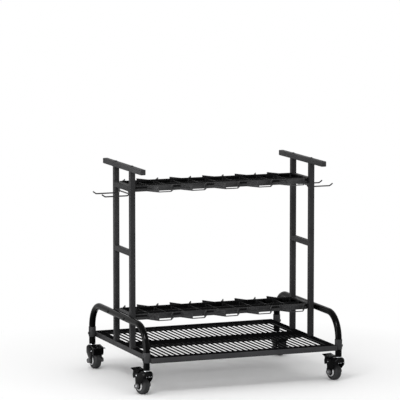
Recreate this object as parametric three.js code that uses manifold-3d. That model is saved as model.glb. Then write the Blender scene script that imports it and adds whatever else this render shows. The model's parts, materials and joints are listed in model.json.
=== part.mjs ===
// Freestanding garden tool rack: a slotted tray on braked casters, two bent tube arches, two ladder
// ends with top bars, two moulded grids and two wire hook frames.
// Millimetres, +Z up, +X along the rack, +Y to its back, origin on the floor under the tray's middle.
import * as THREE from 'three';
import { mergeVertices } from 'three/addons/utils/BufferGeometryUtils.js';
import Module from 'manifold-3d';

const wasm = await Module();
wasm.setup();

// Tray: one folded sheet with two rows of slots
const trayLength = 807;
const trayDepth = 695;
const deckHeight = 150;
const traySheet = 1.5;
const flangeDepth = 21;
const trayFoldRadius = 2.5;
const trayCornerRadius = 3;
const slotWidth = 12;
const slotPitch = 22.8;
const slotEndMargin = 32;
const slotSideMargin = 42.5;
const slotMiddleBand = 80;

// Channel under the middle band
const channelWidth = 44;
const channelDepth = 18;
const channelSheet = 1.5;
const channelLip = 8;
const channelBendRadius = 3;
const channelEndGap = 0.3;

// Arches: one bent round tube at each end, whose ends are the legs
const archTube = 27;
const archWall = 2;
const archGap = 0.3;
const archRise = 122;
const archBendRadius = 100;
const legInset = 23;

// Sleeves welded to the tray's corners around the legs
const sleeveWall = 1.5;
const sleeveFit = 0.2;
const sleeveAbove = 22;
const sleeveBelow = 19;

// Square tube of the uprights, rungs and top bars
const tubeSize = 22;
const tubeWall = 1.5;
const tubeCornerRadius = 3;
const uprightHeight = 719;
const uprightSpacing = 189;
const uprightPlate = 4;
const lowerRungRise = 124;
const upperRungDrop = 71;
const topBarLength = 450;

// Plastic caps in the top bars' ends
const capHead = 8;
const capEdgeRadius = 3;
const capPlug = 16;
const capFit = 0.2;

// Moulded grids: outer wall with a groove round it, lattice inside, pockets on both long sides
const gridDepth = 180;
const gridEndGap = 0.2;
const gridWall = 3;
const gridLowerBand = 12;
const gridGrooveBand = 8;
const gridLip = 4;
const gridGrooveDepth = 1.4;
const gridCornerRadius = 7;
const gridCellCornerRadius = 6;
const latticeHeight = 18;
const latticeRib = 2.4;
const cellColumns = 10;
const cellRows = 2;
const pocketCount = 5;
const pocketPitch = 145;
const pocketShift = 21;
const pocketBase = 115;
const pocketFront = 55;
const pocketDepth = 54;
const pocketNoseRadius = 6;
const pocketBar = 4;
const pegRadius = 4;
const pegLength = 4.5;
const pegSpacing = 80;
const pegFit = 0.3;
const latticeSeatShare = 0.75;

// Wire hook frame under the upper rung
const wireRadius = 2.75;
const prongSpacing = 108;
const prongDrop = 20;
const crossWireDrop = 12;
const prongBendRadius = 8;
const prongReach = 101;
const tipReach = 14;
const tipRise = 10;
const tipBendRadius = 9;
const wirePegDepth = 6;
const wireFit = 0.3;

// Domed bolts
const boltRadius = 3;
const boltFit = 0.25;
const boltHeadRadius = 6.2;
const boltHeadHeight = 3.4;
const boltTip = 2.5;
const sleeveBoltDrop = 5;
const headRadiusShares = [1, 0.78, 0];
const headHeightShares = [0.25, 0.8, 1];

// Casters: stem in the leg, swivel fork, wheel, axle and brake pedal
const casterHeight = 100;
const wheelDiameter = 69;
const tyreWidth = 30;
const tyreBore = 34;
const tyreShoulderRadius = 8;
const tyreBeadRecess = 1.5;
const tyreFlank = 5;
const tyreSeat = 0.1;
const casterTrail = 28;
const coreRimWidth = 33;
const coreWeb = 20;
const coreHubRadius = 9;
const hubEndGap = 0.3;
const axleRadius = 4;
const axleFit = 0.06;
const axleNutRadius = 10;
const axleNutHeight = 11;
const axleRecessRadius = 6.6;
const axleRecessDepth = 4;
const axleEndRadius = 3.2;
const axleEndHeight = 2;
const axleNutGap = 0.1;
const forkWidth = 48;
const forkPlate = 3;
const forkNose = 17;
const forkNoseHeight = 24;
const forkNoseRadius = 10;
const forkHoodTail = 18;
const forkTail = 46;
const forkTailDrop = 9;
const forkTailHeight = 16;
const forkCornerRadius = 6;
const forkKneeStep = 3;
const forkKneeRise = 8.5;
const forkPlanRadius = 7;
const forkBossRadius = 12;
const forkShoulderRadius = 12;
const forkSlotRadius = 5;
const forkCrownGap = 6;
const collarRadius = 11.5;
const collarHeight = 3;
const plugLength = 30;
const plugGap = 0.3;
const plugChamfer = 2;
const swivelPinRadius = 5;
const swivelFit = 0.06;
const swivelGap = 0.3;
const swivelFootRadius = 9;
const swivelFootHeight = 2.5;
const pedalWidth = 46;
const pedalReach = 77;
const pedalStart = 21;
const pedalThickness = 3.5;
const pedalTipRise = 3;
const pedalTreadDrop = 2.5;
const pedalLip = 5;
const pedalLipWidth = 4;
const pedalCornerRadius = 6;
const pedalBodyStart = 28;
const pedalNeckReach = 60;
const pedalNeckDrop = 11;
const pedalBackReach = 63;
const pedalBackDrop = 22;
const pedalBodyGap = 0.3;
const pedalWideStart = 48.5;
const pedalPivotForward = 38;
const pedalPivotDrop = 20.7;
const pedalPinRadius = 2.5;
const pedalPinFit = 0.08;
const pedalPinProud = 0.4;
const saddleEndGap = 7;
const saddleRootGap = 3.5;
const saddleThickness = 3.5;
const saddleEndTurn = 45;
const saddleRootTurn = 80;
const pedalPressTurn = 12;
const frontTrailTurn = 106;
const rearTrailTurn = 275;

// Modelling: how far cuts run past a face, how close points merge, and how round things are
const overrun = 2;
const mergeGap = 0.0001;
const tubeSides = 14;
const sleeveSides = 16;
const wireSides = 8;
const wheelSides = 18;
const stemSides = 14;
const axleSides = 10;
const boltSides = 8;
const archBendSteps = 5;
const wireBendSteps = 3;
const slotEndSteps = 3;
const cornerSteps = 2;
const tubeCornerSteps = 1;
const tyreShoulderSteps = 1;
const saddleSteps = 3;

// Places worked out from the sizes above
const trayEnd = trayLength / 2;
const traySide = trayDepth / 2;
const legX = trayEnd + archGap + archTube / 2;
const legY = traySide - legInset;
const runHeight = deckHeight + archRise;
const sleeveBore = archTube / 2 + sleeveFit;
const sleeveRadius = sleeveBore + sleeveWall;
const uprightX = trayEnd - tubeSize / 2;
const uprightY = uprightSpacing / 2;
const uprightTop = deckHeight + uprightHeight;
const upperRungRise = uprightHeight - upperRungDrop;
const middleRungRise = (lowerRungRise + upperRungRise) / 2;
const gridHeight = gridLowerBand + gridGrooveBand + gridLip;
const gridLength = trayLength - 2 * tubeSize - 2 * gridEndGap;
const upperRungBottom = deckHeight + upperRungRise - tubeSize / 2;
const wheelRadius = wheelDiameter / 2;
const forkInside = forkWidth / 2 - forkPlate;
const plugTop = casterHeight + plugLength;
const forkTop = casterHeight - collarHeight - swivelGap;
const crownBottom = wheelDiameter + forkCrownGap;
const flatWheelTurn = 180 / wheelSides;
const quarterTurn = Math.PI / 2;
const flatTurn = 180 / sleeveSides;

// Solids and outlines
function dropEmptyTriangles(index) {
  const kept = [];
  for (let at = 0; at < index.length; at += 3) {
    const [a, b, c] = [index[at], index[at + 1], index[at + 2]];
    if (a !== b && b !== c && c !== a) kept.push(a, b, c);
  }
  return kept;
}

function signedVolume(position, index) {
  const [a, b, c] = [new THREE.Vector3(), new THREE.Vector3(), new THREE.Vector3()];
  let sum = 0;
  for (let at = 0; at < index.length; at += 3) {
    a.fromBufferAttribute(position, index[at]);
    b.fromBufferAttribute(position, index[at + 1]);
    c.fromBufferAttribute(position, index[at + 2]);
    sum += a.dot(b.cross(c));
  }
  return sum;
}

function solidOf(geometry) {
  const bare = geometry.clone();
  bare.deleteAttribute('normal');
  bare.deleteAttribute('uv');
  const merged = mergeVertices(bare, mergeGap);
  const index = dropEmptyTriangles(merged.index.array);
  if (signedVolume(merged.attributes.position, index) < 0) index.reverse();
  return new wasm.Manifold(new wasm.Mesh({
    numProp: 3,
    vertProperties: new Float32Array(merged.attributes.position.array),
    triVerts: new Uint32Array(index),
  }));
}

function geometryOf(solid) {
  const mesh = solid.getMesh();
  const geometry = new THREE.BufferGeometry();
  geometry.setAttribute('position', new THREE.BufferAttribute(mesh.vertProperties, mesh.numProp));
  geometry.setIndex(new THREE.BufferAttribute(mesh.triVerts, 1));
  geometry.computeVertexNormals();
  return geometry;
}

function joined(solids) {
  return solids.reduce((sum, solid) => sum.add(solid));
}

function cutBy(solid, cuts) {
  return cuts.reduce((left, cut) => left.subtract(cut), solid);
}

function point(x, y) {
  return new THREE.Vector2(x, y);
}

function rectangle(x0, x1, y0, y1) {
  return [point(x0, y0), point(x1, y0), point(x1, y1), point(x0, y1)];
}

function square(size) {
  return rectangle(-size / 2, size / 2, -size / 2, size / 2);
}

// A closed outline with its corners rounded; radii has one value for each corner, or one for all
function rounded(corners, radii, steps) {
  const outline = [];
  corners.forEach((corner, index) => {
    const radius = Array.isArray(radii) ? radii[index] : radii;
    if (radius === 0) {
      outline.push(corner.clone());
      return;
    }
    const before = corners[(index + corners.length - 1) % corners.length].clone().sub(corner).normalize();
    const after = corners[(index + 1) % corners.length].clone().sub(corner).normalize();
    const halfAngle = Math.acos(THREE.MathUtils.clamp(before.dot(after), -1, 1)) / 2;
    const centre = before.clone().add(after).setLength(radius / Math.sin(halfAngle)).add(corner);
    const start = before.multiplyScalar(radius / Math.tan(halfAngle)).add(corner).sub(centre);
    const end = after.multiplyScalar(radius / Math.tan(halfAngle)).add(corner).sub(centre);
    const turn = Math.atan2(start.cross(end), start.dot(end));
    for (let step = 0; step <= steps; step += 1) {
      outline.push(start.clone().rotateAround(point(0, 0), (turn * step) / steps).add(centre));
    }
  });
  return outline;
}

function circle(radius, sides) {
  const outline = [];
  for (let side = 0; side < sides; side += 1) {
    outline.push(point(radius, 0).rotateAround(point(0, 0), (2 * Math.PI * side) / sides));
  }
  return outline;
}

// The radius of a hole's corners when its flats clear a round of the given radius
function aroundRound(radius, sides) {
  return radius / Math.cos(Math.PI / sides);
}

function shapeOf(outline, holes) {
  const shape = new THREE.Shape(outline);
  holes.forEach((hole) => shape.holes.push(new THREE.Path(hole)));
  return shape;
}

function prism(outline, height, holes = []) {
  const body = new THREE.ExtrudeGeometry(shapeOf(outline, []), { depth: height, bevelEnabled: false });
  const cuts = holes.map((hole) => prism(hole, height + 2 * overrun).translate([0, 0, -overrun]));
  return cutBy(solidOf(body), cuts);
}

// A prism whose outline lies in the XZ plane, centred on y = 0
function sidePrism(outline, width) {
  const geometry = new THREE.ExtrudeGeometry(shapeOf(outline, []), { depth: width, bevelEnabled: false });
  geometry.translate(0, 0, -width / 2);
  geometry.rotateX(quarterTurn);
  return solidOf(geometry);
}

function block(x0, x1, y0, y1, z0, z1) {
  return prism(rectangle(x0, x1, y0, y1), z1 - z0).translate([0, 0, z0]);
}

function lathe(profile, sides) {
  const geometry = new THREE.LatheGeometry(profile, sides);
  geometry.rotateX(quarterTurn);
  return solidOf(geometry);
}

function ringLathe(profile, sides) {
  return lathe([...profile, profile[0].clone()], sides);
}

// A round cutter or pin from z = 0 up
function rod(radius, length, sides) {
  return prism(circle(radius, sides), length);
}

function rodAlongX(radius, x0, x1, y, z, sides) {
  return rod(radius, x1 - x0, sides).rotate([0, 90, 0]).translate([x0, y, z]);
}

function rodAlongY(radius, x, y0, y1, z, sides) {
  return rod(radius, y1 - y0, sides).rotate([-90, 0, 0]).translate([x, y0, z]);
}

function squareTube(length) {
  const outer = rounded(square(tubeSize), tubeCornerRadius, tubeCornerSteps);
  const inner = rounded(square(tubeSize - 2 * tubeWall), tubeCornerRadius - tubeWall, tubeCornerSteps);
  return prism(outer, length, [inner]);
}

// A bent centre line: straight runs joined by arcs, with a station at each end and at each arc step
function bentLine(corners, radii, steps) {
  const first = corners[1].clone().sub(corners[0]).normalize();
  const stations = [{ place: corners[0].clone(), heading: first }];
  for (let index = 1; index < corners.length - 1; index += 1) {
    const radius = radii[index - 1];
    const back = corners[index - 1].clone().sub(corners[index]).normalize();
    const ahead = corners[index + 1].clone().sub(corners[index]).normalize();
    const halfAngle = back.angleTo(ahead) / 2;
    const centre = back.clone().add(ahead).setLength(radius / Math.sin(halfAngle)).add(corners[index]);
    const along = back.clone().negate();
    const start = back.clone().multiplyScalar(radius / Math.tan(halfAngle)).add(corners[index]);
    const outward = start.sub(centre).normalize();
    for (let step = 0; step <= steps; step += 1) {
      const angle = ((Math.PI - 2 * halfAngle) * step) / steps;
      const arm = outward.clone().multiplyScalar(Math.cos(angle)).addScaledVector(along, Math.sin(angle));
      const heading = along.clone().multiplyScalar(Math.cos(angle))
        .addScaledVector(outward, -Math.sin(angle));
      stations.push({ place: arm.multiplyScalar(radius).add(centre), heading });
    }
  }
  const end = corners[corners.length - 1];
  stations.push({ place: end.clone(), heading: end.clone().sub(corners[corners.length - 2]).normalize() });
  return stations;
}

class StationCurve extends THREE.Curve {
  constructor(stations) {
    super();
    this.stations = stations;
  }

  stationAt(share) {
    return this.stations[Math.round(share * (this.stations.length - 1))];
  }

  getPointAt(share) {
    return this.stationAt(share).place.clone();
  }

  getTangentAt(share) {
    return this.stationAt(share).heading.clone();
  }
}

function sweep(stations, outline, holes = []) {
  return solidOf(new THREE.ExtrudeGeometry(shapeOf(outline, holes), {
    steps: stations.length - 1,
    bevelEnabled: false,
    extrudePath: new StationCurve(stations),
  }));
}

// Tray
function foldedBlock(length, depth, top, bottom, foldRadius, cornerRadius) {
  const inset = rounded(
    rectangle(
      -length / 2 + foldRadius, length / 2 - foldRadius, -depth / 2 + foldRadius, depth / 2 - foldRadius,
    ),
    cornerRadius,
    cornerSteps,
  );
  const geometry = new THREE.ExtrudeGeometry(shapeOf(inset, []), {
    depth: top - bottom,
    bevelEnabled: true,
    bevelThickness: foldRadius,
    bevelSize: foldRadius,
    bevelSegments: cornerSteps,
  });
  geometry.translate(0, 0, bottom);
  const waste = block(-length, length, -depth, depth, bottom - 2 * foldRadius, bottom);
  return solidOf(geometry).subtract(waste);
}

function slotOutline(x, y0, y1) {
  const radius = slotWidth / 2;
  const outline = [];
  [[y1 - radius, 0], [y0 + radius, Math.PI]].forEach(([y, from]) => {
    for (let step = 0; step <= slotEndSteps; step += 1) {
      const angle = from + (Math.PI * step) / slotEndSteps;
      outline.push(point(x + radius * Math.cos(angle), y + radius * Math.sin(angle)));
    }
  });
  return outline;
}

function slotCutters() {
  const room = trayLength - 2 * slotEndMargin - slotWidth;
  const gaps = Math.floor(room / slotPitch);
  const shapes = [];
  for (let slot = 0; slot <= gaps; slot += 1) {
    const x = (slot - gaps / 2) * slotPitch;
    const [inner, outer] = [slotMiddleBand / 2, traySide - slotSideMargin];
    shapes.push(shapeOf(slotOutline(x, -outer, -inner), []));
    shapes.push(shapeOf(slotOutline(x, inner, outer), []));
  }
  const depth = traySheet + 2 * overrun;
  const geometry = new THREE.ExtrudeGeometry(shapes, { depth, bevelEnabled: false });
  geometry.translate(0, 0, deckHeight - traySheet - overrun);
  return solidOf(geometry);
}

function atCorners(make) {
  const solids = [];
  [-1, 1].forEach((side) => [-1, 1].forEach((end) => solids.push(make(side, end))));
  return solids;
}

function sleeve(side, end) {
  return rod(aroundRound(sleeveRadius, sleeveSides), sleeveAbove + sleeveBelow, sleeveSides)
    .rotate([0, 0, flatTurn])
    .translate([side * legX, end * legY, deckHeight - sleeveBelow]);
}

function sleeveBoreCut(side, end) {
  return rod(aroundRound(sleeveBore, sleeveSides), sleeveAbove + sleeveBelow + 2 * overrun, sleeveSides)
    .rotate([0, 0, flatTurn])
    .translate([side * legX, end * legY, deckHeight - sleeveBelow - overrun]);
}

function sleeveBoltHole(side, end) {
  const hole = rodAlongX(boltRadius + boltFit, legX, legX + sleeveRadius + overrun, 0, 0, boltSides);
  return hole.rotate([0, 0, side > 0 ? 0 : 180]).translate([0, end * legY, deckHeight - sleeveBoltDrop]);
}

function baseTray() {
  const flangeBottom = deckHeight - flangeDepth;
  const outside = foldedBlock(
    trayLength, trayDepth, deckHeight - trayFoldRadius, flangeBottom, trayFoldRadius, trayCornerRadius,
  );
  const insideFold = trayFoldRadius - traySheet;
  const inside = foldedBlock(
    trayLength - 2 * traySheet, trayDepth - 2 * traySheet, deckHeight - traySheet - insideFold,
    flangeBottom - overrun, insideFold, trayCornerRadius,
  );
  const pan = outside.subtract(inside).subtract(slotCutters());
  const withSleeves = joined([pan, ...atCorners(sleeve)]);
  return cutBy(withSleeves, [...atCorners(sleeveBoreCut), ...atCorners(sleeveBoltHole)]);
}

function trayStiffener() {
  const half = channelWidth / 2;
  const corners = [
    point(-half, 0), point(half, 0), point(half, -channelDepth), point(half - channelLip, -channelDepth),
    point(half - channelLip, channelSheet - channelDepth),
    point(half - channelSheet, channelSheet - channelDepth),
    point(half - channelSheet, -channelSheet), point(channelSheet - half, -channelSheet),
    point(channelSheet - half, channelSheet - channelDepth),
    point(channelLip - half, channelSheet - channelDepth),
    point(channelLip - half, -channelDepth), point(-half, -channelDepth),
  ];
  const [outer, inner] = [channelBendRadius, channelBendRadius - channelSheet];
  const radii = [outer, outer, outer, 0, 0, inner, inner, inner, inner, 0, 0, outer];
  const length = trayLength - 2 * trayFoldRadius - 2 * channelEndGap;
  return prism(rounded(corners, radii, cornerSteps), length)
    .rotate([90, 0, 90])
    .translate([-length / 2, 0, deckHeight - traySheet]);
}

// Arches
function arch() {
  const bottom = casterHeight;
  const line = bentLine([
    new THREE.Vector3(0, -legY, bottom), new THREE.Vector3(0, -legY, runHeight),
    new THREE.Vector3(0, legY, runHeight), new THREE.Vector3(0, legY, bottom),
  ], [archBendRadius, archBendRadius], archBendSteps);
  const tube = sweep(line, circle(archTube / 2, tubeSides), [circle(archTube / 2 - archWall, tubeSides)]);
  const holes = [];
  [-1, 1].forEach((end) => {
    const hole = rodAlongX(
      boltRadius + boltFit, legX - archTube, legX + archTube, end * uprightY, runHeight, boltSides,
    );
    holes.push(hole);
    holes.push(rodAlongX(
      boltRadius + boltFit, legX, legX + archTube, end * legY, deckHeight - sleeveBoltDrop, boltSides,
    ));
  });
  return cutBy(tube.translate([legX, 0, 0]), holes);
}

// Ladder ends, built for the right-hand end
function upright(y) {
  const tube = squareTube(uprightHeight);
  const plateSize = tubeSize - tubeWall;
  const plate = prism(square(plateSize), uprightPlate).translate([0, 0, uprightHeight - uprightPlate]);
  const topHole = rod(boltRadius + boltFit, uprightPlate + 2 * overrun, boltSides)
    .translate([0, 0, uprightHeight - uprightPlate - overrun]);
  const archHole = rodAlongX(boltRadius + boltFit, 0, tubeSize, 0, archRise, boltSides);
  return cutBy(tube.add(plate), [topHole, archHole]).translate([uprightX, y, deckHeight]);
}

function rung(rise, cuts) {
  const length = uprightSpacing - tubeSize;
  const tube = squareTube(length).rotate([-90, 0, 0]).translate([uprightX, -length / 2, deckHeight + rise]);
  return cutBy(tube, cuts);
}

function pegHoles(rise) {
  const inner = uprightX - tubeSize / 2;
  return [-1, 1].map((end) => rodAlongX(
    pegRadius + pegFit, inner - overrun, inner + tubeWall + overrun, (end * pegSpacing) / 2,
    deckHeight + rise, axleSides,
  ));
}

function wirePegHoles() {
  return [-1, 1].map((end) => rod(wireRadius + wireFit, tubeWall + 2 * overrun, wireSides)
    .translate([uprightX, (end * prongSpacing) / 2, upperRungBottom - overrun]));
}

function topBar() {
  const length = topBarLength - 2 * capHead;
  const tube = squareTube(length).rotate([-90, 0, 0])
    .translate([uprightX, -length / 2, uprightTop + tubeSize / 2]);
  const holes = [-1, 1].map((end) => rod(boltRadius + boltFit, tubeSize + 2 * overrun, boltSides)
    .translate([uprightX, end * uprightY, uprightTop - overrun]));
  return cutBy(tube, holes);
}

function endCap() {
  const face = tubeSize - 2 * capEdgeRadius;
  const outline = rounded(square(face), capEdgeRadius / 2, tubeCornerSteps);
  const head = new THREE.ExtrudeGeometry(shapeOf(outline, []), {
    depth: capHead,
    bevelEnabled: true,
    bevelThickness: capEdgeRadius,
    bevelSize: capEdgeRadius,
    bevelSegments: cornerSteps,
  });
  head.translate(0, 0, -capEdgeRadius);
  const waste = block(-tubeSize, tubeSize, -tubeSize, tubeSize, -2 * capEdgeRadius, 0);
  const plugSize = tubeSize - 2 * tubeWall - 2 * capFit;
  const plugOutline = rounded(square(plugSize), tubeCornerRadius - tubeWall, tubeCornerSteps);
  const plug = prism(plugOutline, capPlug + overrun);
  return solidOf(head).subtract(waste).add(plug.translate([0, 0, -capPlug]));
}

// Grids
function pocketHalfWidth(out, inset) {
  const lean = (pocketBase - pocketFront) / 2 / pocketDepth;
  return pocketBase / 2 - lean * out - inset * Math.hypot(1, lean);
}

function pocketCentres() {
  return Array.from({ length: pocketCount }, (_, index) => (
    pocketShift + (index - (pocketCount - 1) / 2) * pocketPitch
  ));
}

// One long side's corners from left to right, with the pockets standing out to the front
function frontCorners(inset) {
  const wallY = inset - gridDepth / 2;
  const noseY = wallY - pocketDepth;
  const [cornerRadius, noseRadius] = [gridCornerRadius - inset, pocketNoseRadius - inset];
  const corners = [{ place: point(inset - gridLength / 2, wallY), radius: cornerRadius }];
  pocketCentres().forEach((centre) => {
    const root = pocketHalfWidth(-inset, inset);
    const nose = pocketHalfWidth(pocketDepth - inset, inset);
    corners.push({ place: point(centre - root, wallY), radius: 0 });
    corners.push({ place: point(centre - nose, noseY), radius: noseRadius });
    corners.push({ place: point(centre + nose, noseY), radius: noseRadius });
    corners.push({ place: point(centre + root, wallY), radius: 0 });
  });
  corners.push({ place: point(gridLength / 2 - inset, wallY), radius: cornerRadius });
  return corners;
}

function gridOutline(inset) {
  const front = frontCorners(inset);
  const rear = front.map(({ place, radius }) => ({ place: place.clone().negate(), radius }));
  const corners = [...front, ...rear];
  return rounded(corners.map(({ place }) => place), corners.map(({ radius }) => radius), tubeCornerSteps);
}

function pocketHoles() {
  const holes = [];
  pocketCentres().forEach((centre) => {
    const [root, nose] = [pocketHalfWidth(0, gridWall), pocketHalfWidth(pocketDepth - gridWall, gridWall)];
    const [rootY, noseY] = [-gridDepth / 2, gridWall - gridDepth / 2 - pocketDepth];
    const hole = rounded([
      point(centre - root, rootY), point(centre - nose, noseY),
      point(centre + nose, noseY), point(centre + root, rootY),
    ], [0, pocketNoseRadius - gridWall, pocketNoseRadius - gridWall, 0], tubeCornerSteps);
    holes.push(hole, hole.map((place) => place.clone().negate()));
  });
  return holes;
}

function gridWalls() {
  const [halfLength, halfDepth] = [gridLength / 2 - gridWall, gridDepth / 2 - gridWall];
  const inside = rounded(
    rectangle(-halfLength, halfLength, -halfDepth, halfDepth), gridCornerRadius - gridWall, tubeCornerSteps,
  );
  return prism(gridOutline(0), gridHeight, [inside, ...pocketHoles()]);
}

function gridGroove() {
  return prism(gridOutline(-overrun), gridGrooveBand, [gridOutline(gridGrooveDepth)])
    .translate([0, 0, gridLowerBand]);
}

function lattice() {
  const seat = gridWall * latticeSeatShare;
  const [halfLength, halfDepth] = [gridLength / 2 - seat, gridDepth / 2 - seat];
  const columnPitch = (gridLength - 2 * gridWall + latticeRib) / cellColumns;
  const rowPitch = (gridDepth - 2 * gridWall + latticeRib) / cellRows;
  const cells = [];
  for (let column = 0; column < cellColumns; column += 1) {
    for (let row = 0; row < cellRows; row += 1) {
      const x = (column - (cellColumns - 1) / 2) * columnPitch;
      const y = (row - (cellRows - 1) / 2) * rowPitch;
      const [halfX, halfY] = [(columnPitch - latticeRib) / 2, (rowPitch - latticeRib) / 2];
      const corners = rectangle(x - halfX, x + halfX, y - halfY, y + halfY);
      cells.push(rounded(corners, gridCellCornerRadius, tubeCornerSteps));
    }
  }
  return prism(rectangle(-halfLength, halfLength, -halfDepth, halfDepth), latticeHeight, cells);
}

function pocketMouths() {
  const nose = gridDepth / 2 + pocketDepth;
  const width = pocketHalfWidth(pocketDepth - gridWall, gridWall) - (pocketNoseRadius - gridWall) / 2;
  const cuts = [];
  pocketCentres().forEach((centre) => {
    const cut = block(
      centre - width, centre + width, -nose - overrun, gridWall + overrun - nose,
      pocketBar, gridHeight + overrun,
    );
    cuts.push(cut, cut.rotate([0, 0, 180]));
  });
  return cuts;
}

function gridPegs() {
  const pegs = [];
  [-1, 1].forEach((side) => [-1, 1].forEach((end) => {
    const peg = rodAlongX(
      pegRadius, gridLength / 2 - gridWall, gridLength / 2 + pegLength, (end * pegSpacing) / 2,
      gridHeight / 2, axleSides,
    );
    pegs.push(peg.rotate([0, 0, side > 0 ? 0 : 180]));
  }));
  return pegs;
}

function grid(rise) {
  const body = joined([gridWalls(), lattice(), ...gridPegs()]);
  return cutBy(body, [gridGroove(), ...pocketMouths()])
    .translate([0, 0, deckHeight + rise - gridHeight / 2]);
}

// Hook frame, built for the right-hand end
function hook() {
  const prongZ = upperRungBottom - prongDrop;
  const prongs = [-1, 1].map((end) => {
    const y = (end * prongSpacing) / 2;
    const line = bentLine([
      new THREE.Vector3(uprightX, y, upperRungBottom + wirePegDepth),
      new THREE.Vector3(uprightX, y, prongZ),
      new THREE.Vector3(uprightX + prongReach, y, prongZ),
      new THREE.Vector3(uprightX + prongReach + tipReach, y, prongZ + tipRise),
    ], [prongBendRadius, tipBendRadius], wireBendSteps);
    return sweep(line, circle(wireRadius, wireSides));
  });
  const cross = rodAlongY(
    wireRadius, uprightX, -prongSpacing / 2, prongSpacing / 2, upperRungBottom - crossWireDrop, wireSides,
  );
  return joined([...prongs, cross]);
}

// A domed bolt with the underside of its head at z = 0 and its shank below
function bolt(length) {
  const profile = [
    point(0, -length), point(boltRadius, -length), point(boltRadius, 0), point(boltHeadRadius, 0),
  ];
  headRadiusShares.forEach((share, index) => {
    profile.push(point(boltHeadRadius * share, boltHeadHeight * headHeightShares[index]));
  });
  return lathe(profile, boltSides);
}

function archBolt(y) {
  const length = archTube + archGap + tubeWall + boltTip;
  return bolt(length).rotate([0, 90, 0]).translate([legX + archTube / 2, y, runHeight]);
}

// This bolt ends flush with the leg's bore, so that the caster's plug passes it
function sleeveBolt(y) {
  const length = sleeveWall + sleeveFit + archWall;
  return bolt(length).rotate([0, 90, 0]).translate([legX + sleeveRadius, y, deckHeight - sleeveBoltDrop]);
}

function topBolt(y) {
  return bolt(tubeSize + uprightPlate + boltTip).translate([uprightX, y, uprightTop + tubeSize]);
}

// Casters, built with the swivel axis at x = y = 0 and the wheel trailing towards +X
function casterStem() {
  const plugRadius = archTube / 2 - archWall - plugGap;
  const footTop = crownBottom - swivelGap;
  return lathe([
    point(0, footTop - swivelFootHeight), point(swivelFootRadius, footTop - swivelFootHeight),
    point(swivelFootRadius, footTop), point(swivelPinRadius, footTop),
    point(swivelPinRadius, casterHeight - collarHeight), point(collarRadius, casterHeight - collarHeight),
    point(collarRadius, casterHeight), point(plugRadius, casterHeight),
    point(plugRadius, plugTop - plugChamfer), point(plugRadius - plugChamfer, plugTop), point(0, plugTop),
  ], stemSides);
}

function forkSide() {
  const [front, back] = [casterTrail - forkBossRadius, casterTrail + forkBossRadius];
  const bottom = wheelRadius - forkBossRadius;
  const tailTop = forkTop - forkTailDrop;
  return rounded([
    point(-forkNose, forkTop), point(-forkNose, forkTop - forkNoseHeight),
    point(front - forkKneeStep, wheelRadius + forkKneeRise), point(front, bottom),
    point(back, bottom), point(forkTail, tailTop - forkTailHeight), point(forkTail, tailTop),
    point(forkHoodTail, tailTop), point(forkHoodTail, forkTop),
  ], [
    forkNoseRadius, forkCornerRadius, forkCornerRadius, forkBossRadius, forkBossRadius,
    forkCornerRadius, forkCornerRadius, 0, 0,
  ], cornerSteps);
}

// The fork seen from the front: a hood over two cheeks
function forkSection() {
  const [half, low] = [forkWidth / 2, 0];
  return rounded([
    point(-half, low), point(-forkInside, low), point(-forkInside, crownBottom),
    point(forkInside, crownBottom), point(forkInside, low), point(half, low),
    point(half, forkTop), point(-half, forkTop),
  ], [0, 0, forkSlotRadius, forkSlotRadius, 0, 0, forkShoulderRadius, forkShoulderRadius], cornerSteps);
}

function forkPlan() {
  const half = forkWidth / 2;
  return rounded(
    rectangle(-forkNose, forkTail + overrun, -half, half),
    [forkPlanRadius, 0, 0, forkPlanRadius], cornerSteps,
  );
}

function pivotZ() {
  return forkTop - pedalPivotDrop;
}

function casterFork() {
  const length = forkNose + forkTail + 2 * overrun;
  const section = prism(forkSection(), length).rotate([90, 0, 90]).translate([-forkNose - overrun, 0, 0]);
  const body = section.intersect(sidePrism(forkSide(), forkWidth + 2 * overrun))
    .intersect(prism(forkPlan(), forkTop + overrun));
  const half = forkWidth / 2 + overrun;
  return cutBy(body, [
    block(forkHoodTail, forkTail + overrun, -forkInside, forkInside, 0, forkTop),
    rod(aroundRound(swivelPinRadius + swivelFit, stemSides), forkTop, stemSides).rotate([0, 0, -90])
      .translate([0, 0, crownBottom - overrun]),
    rodAlongY(
      aroundRound(axleRadius + axleFit, axleSides), casterTrail, -half, half, wheelRadius, axleSides,
    ),
    rodAlongY(
      aroundRound(pedalPinRadius + pedalPinFit, boltSides), pedalPivotForward, -half, half,
      pivotZ(), boltSides,
    ),
  ]);
}

function alongAxle(solid) {
  return solid.rotate([-90, 0, 0]).translate([casterTrail, 0, wheelRadius]);
}

// A turned wheel part whose flats, not its corners, are at the profile's radii
function wheelPart(profile) {
  const flats = profile.map((place) => point(aroundRound(place.x, wheelSides), place.y));
  return alongAxle(ringLathe(flats, wheelSides).rotate([0, 0, flatWheelTurn]));
}

function casterTyre() {
  const [bore, bead, half] = [tyreBore / 2 + tyreSeat, tyreWidth / 2 - tyreBeadRecess, tyreWidth / 2];
  return wheelPart(rounded([
    point(bore, -bead), point(bore + tyreFlank, -half), point(wheelRadius, -half),
    point(wheelRadius, half), point(bore + tyreFlank, half), point(bore, bead),
  ], [0, 0, tyreShoulderRadius, tyreShoulderRadius, 0, 0], tyreShoulderSteps));
}

function casterCore() {
  const bore = axleRadius + axleFit;
  const [rim, rimHalf, webHalf] = [tyreBore / 2, coreRimWidth / 2, coreWeb / 2];
  const hubHalf = forkInside - hubEndGap;
  return wheelPart([
    point(bore, -hubHalf), point(coreHubRadius, -hubHalf), point(coreHubRadius, -webHalf),
    point(rim, -rimHalf), point(rim, rimHalf), point(coreHubRadius, webHalf),
    point(coreHubRadius, hubHalf), point(bore, hubHalf),
  ]);
}

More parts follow.
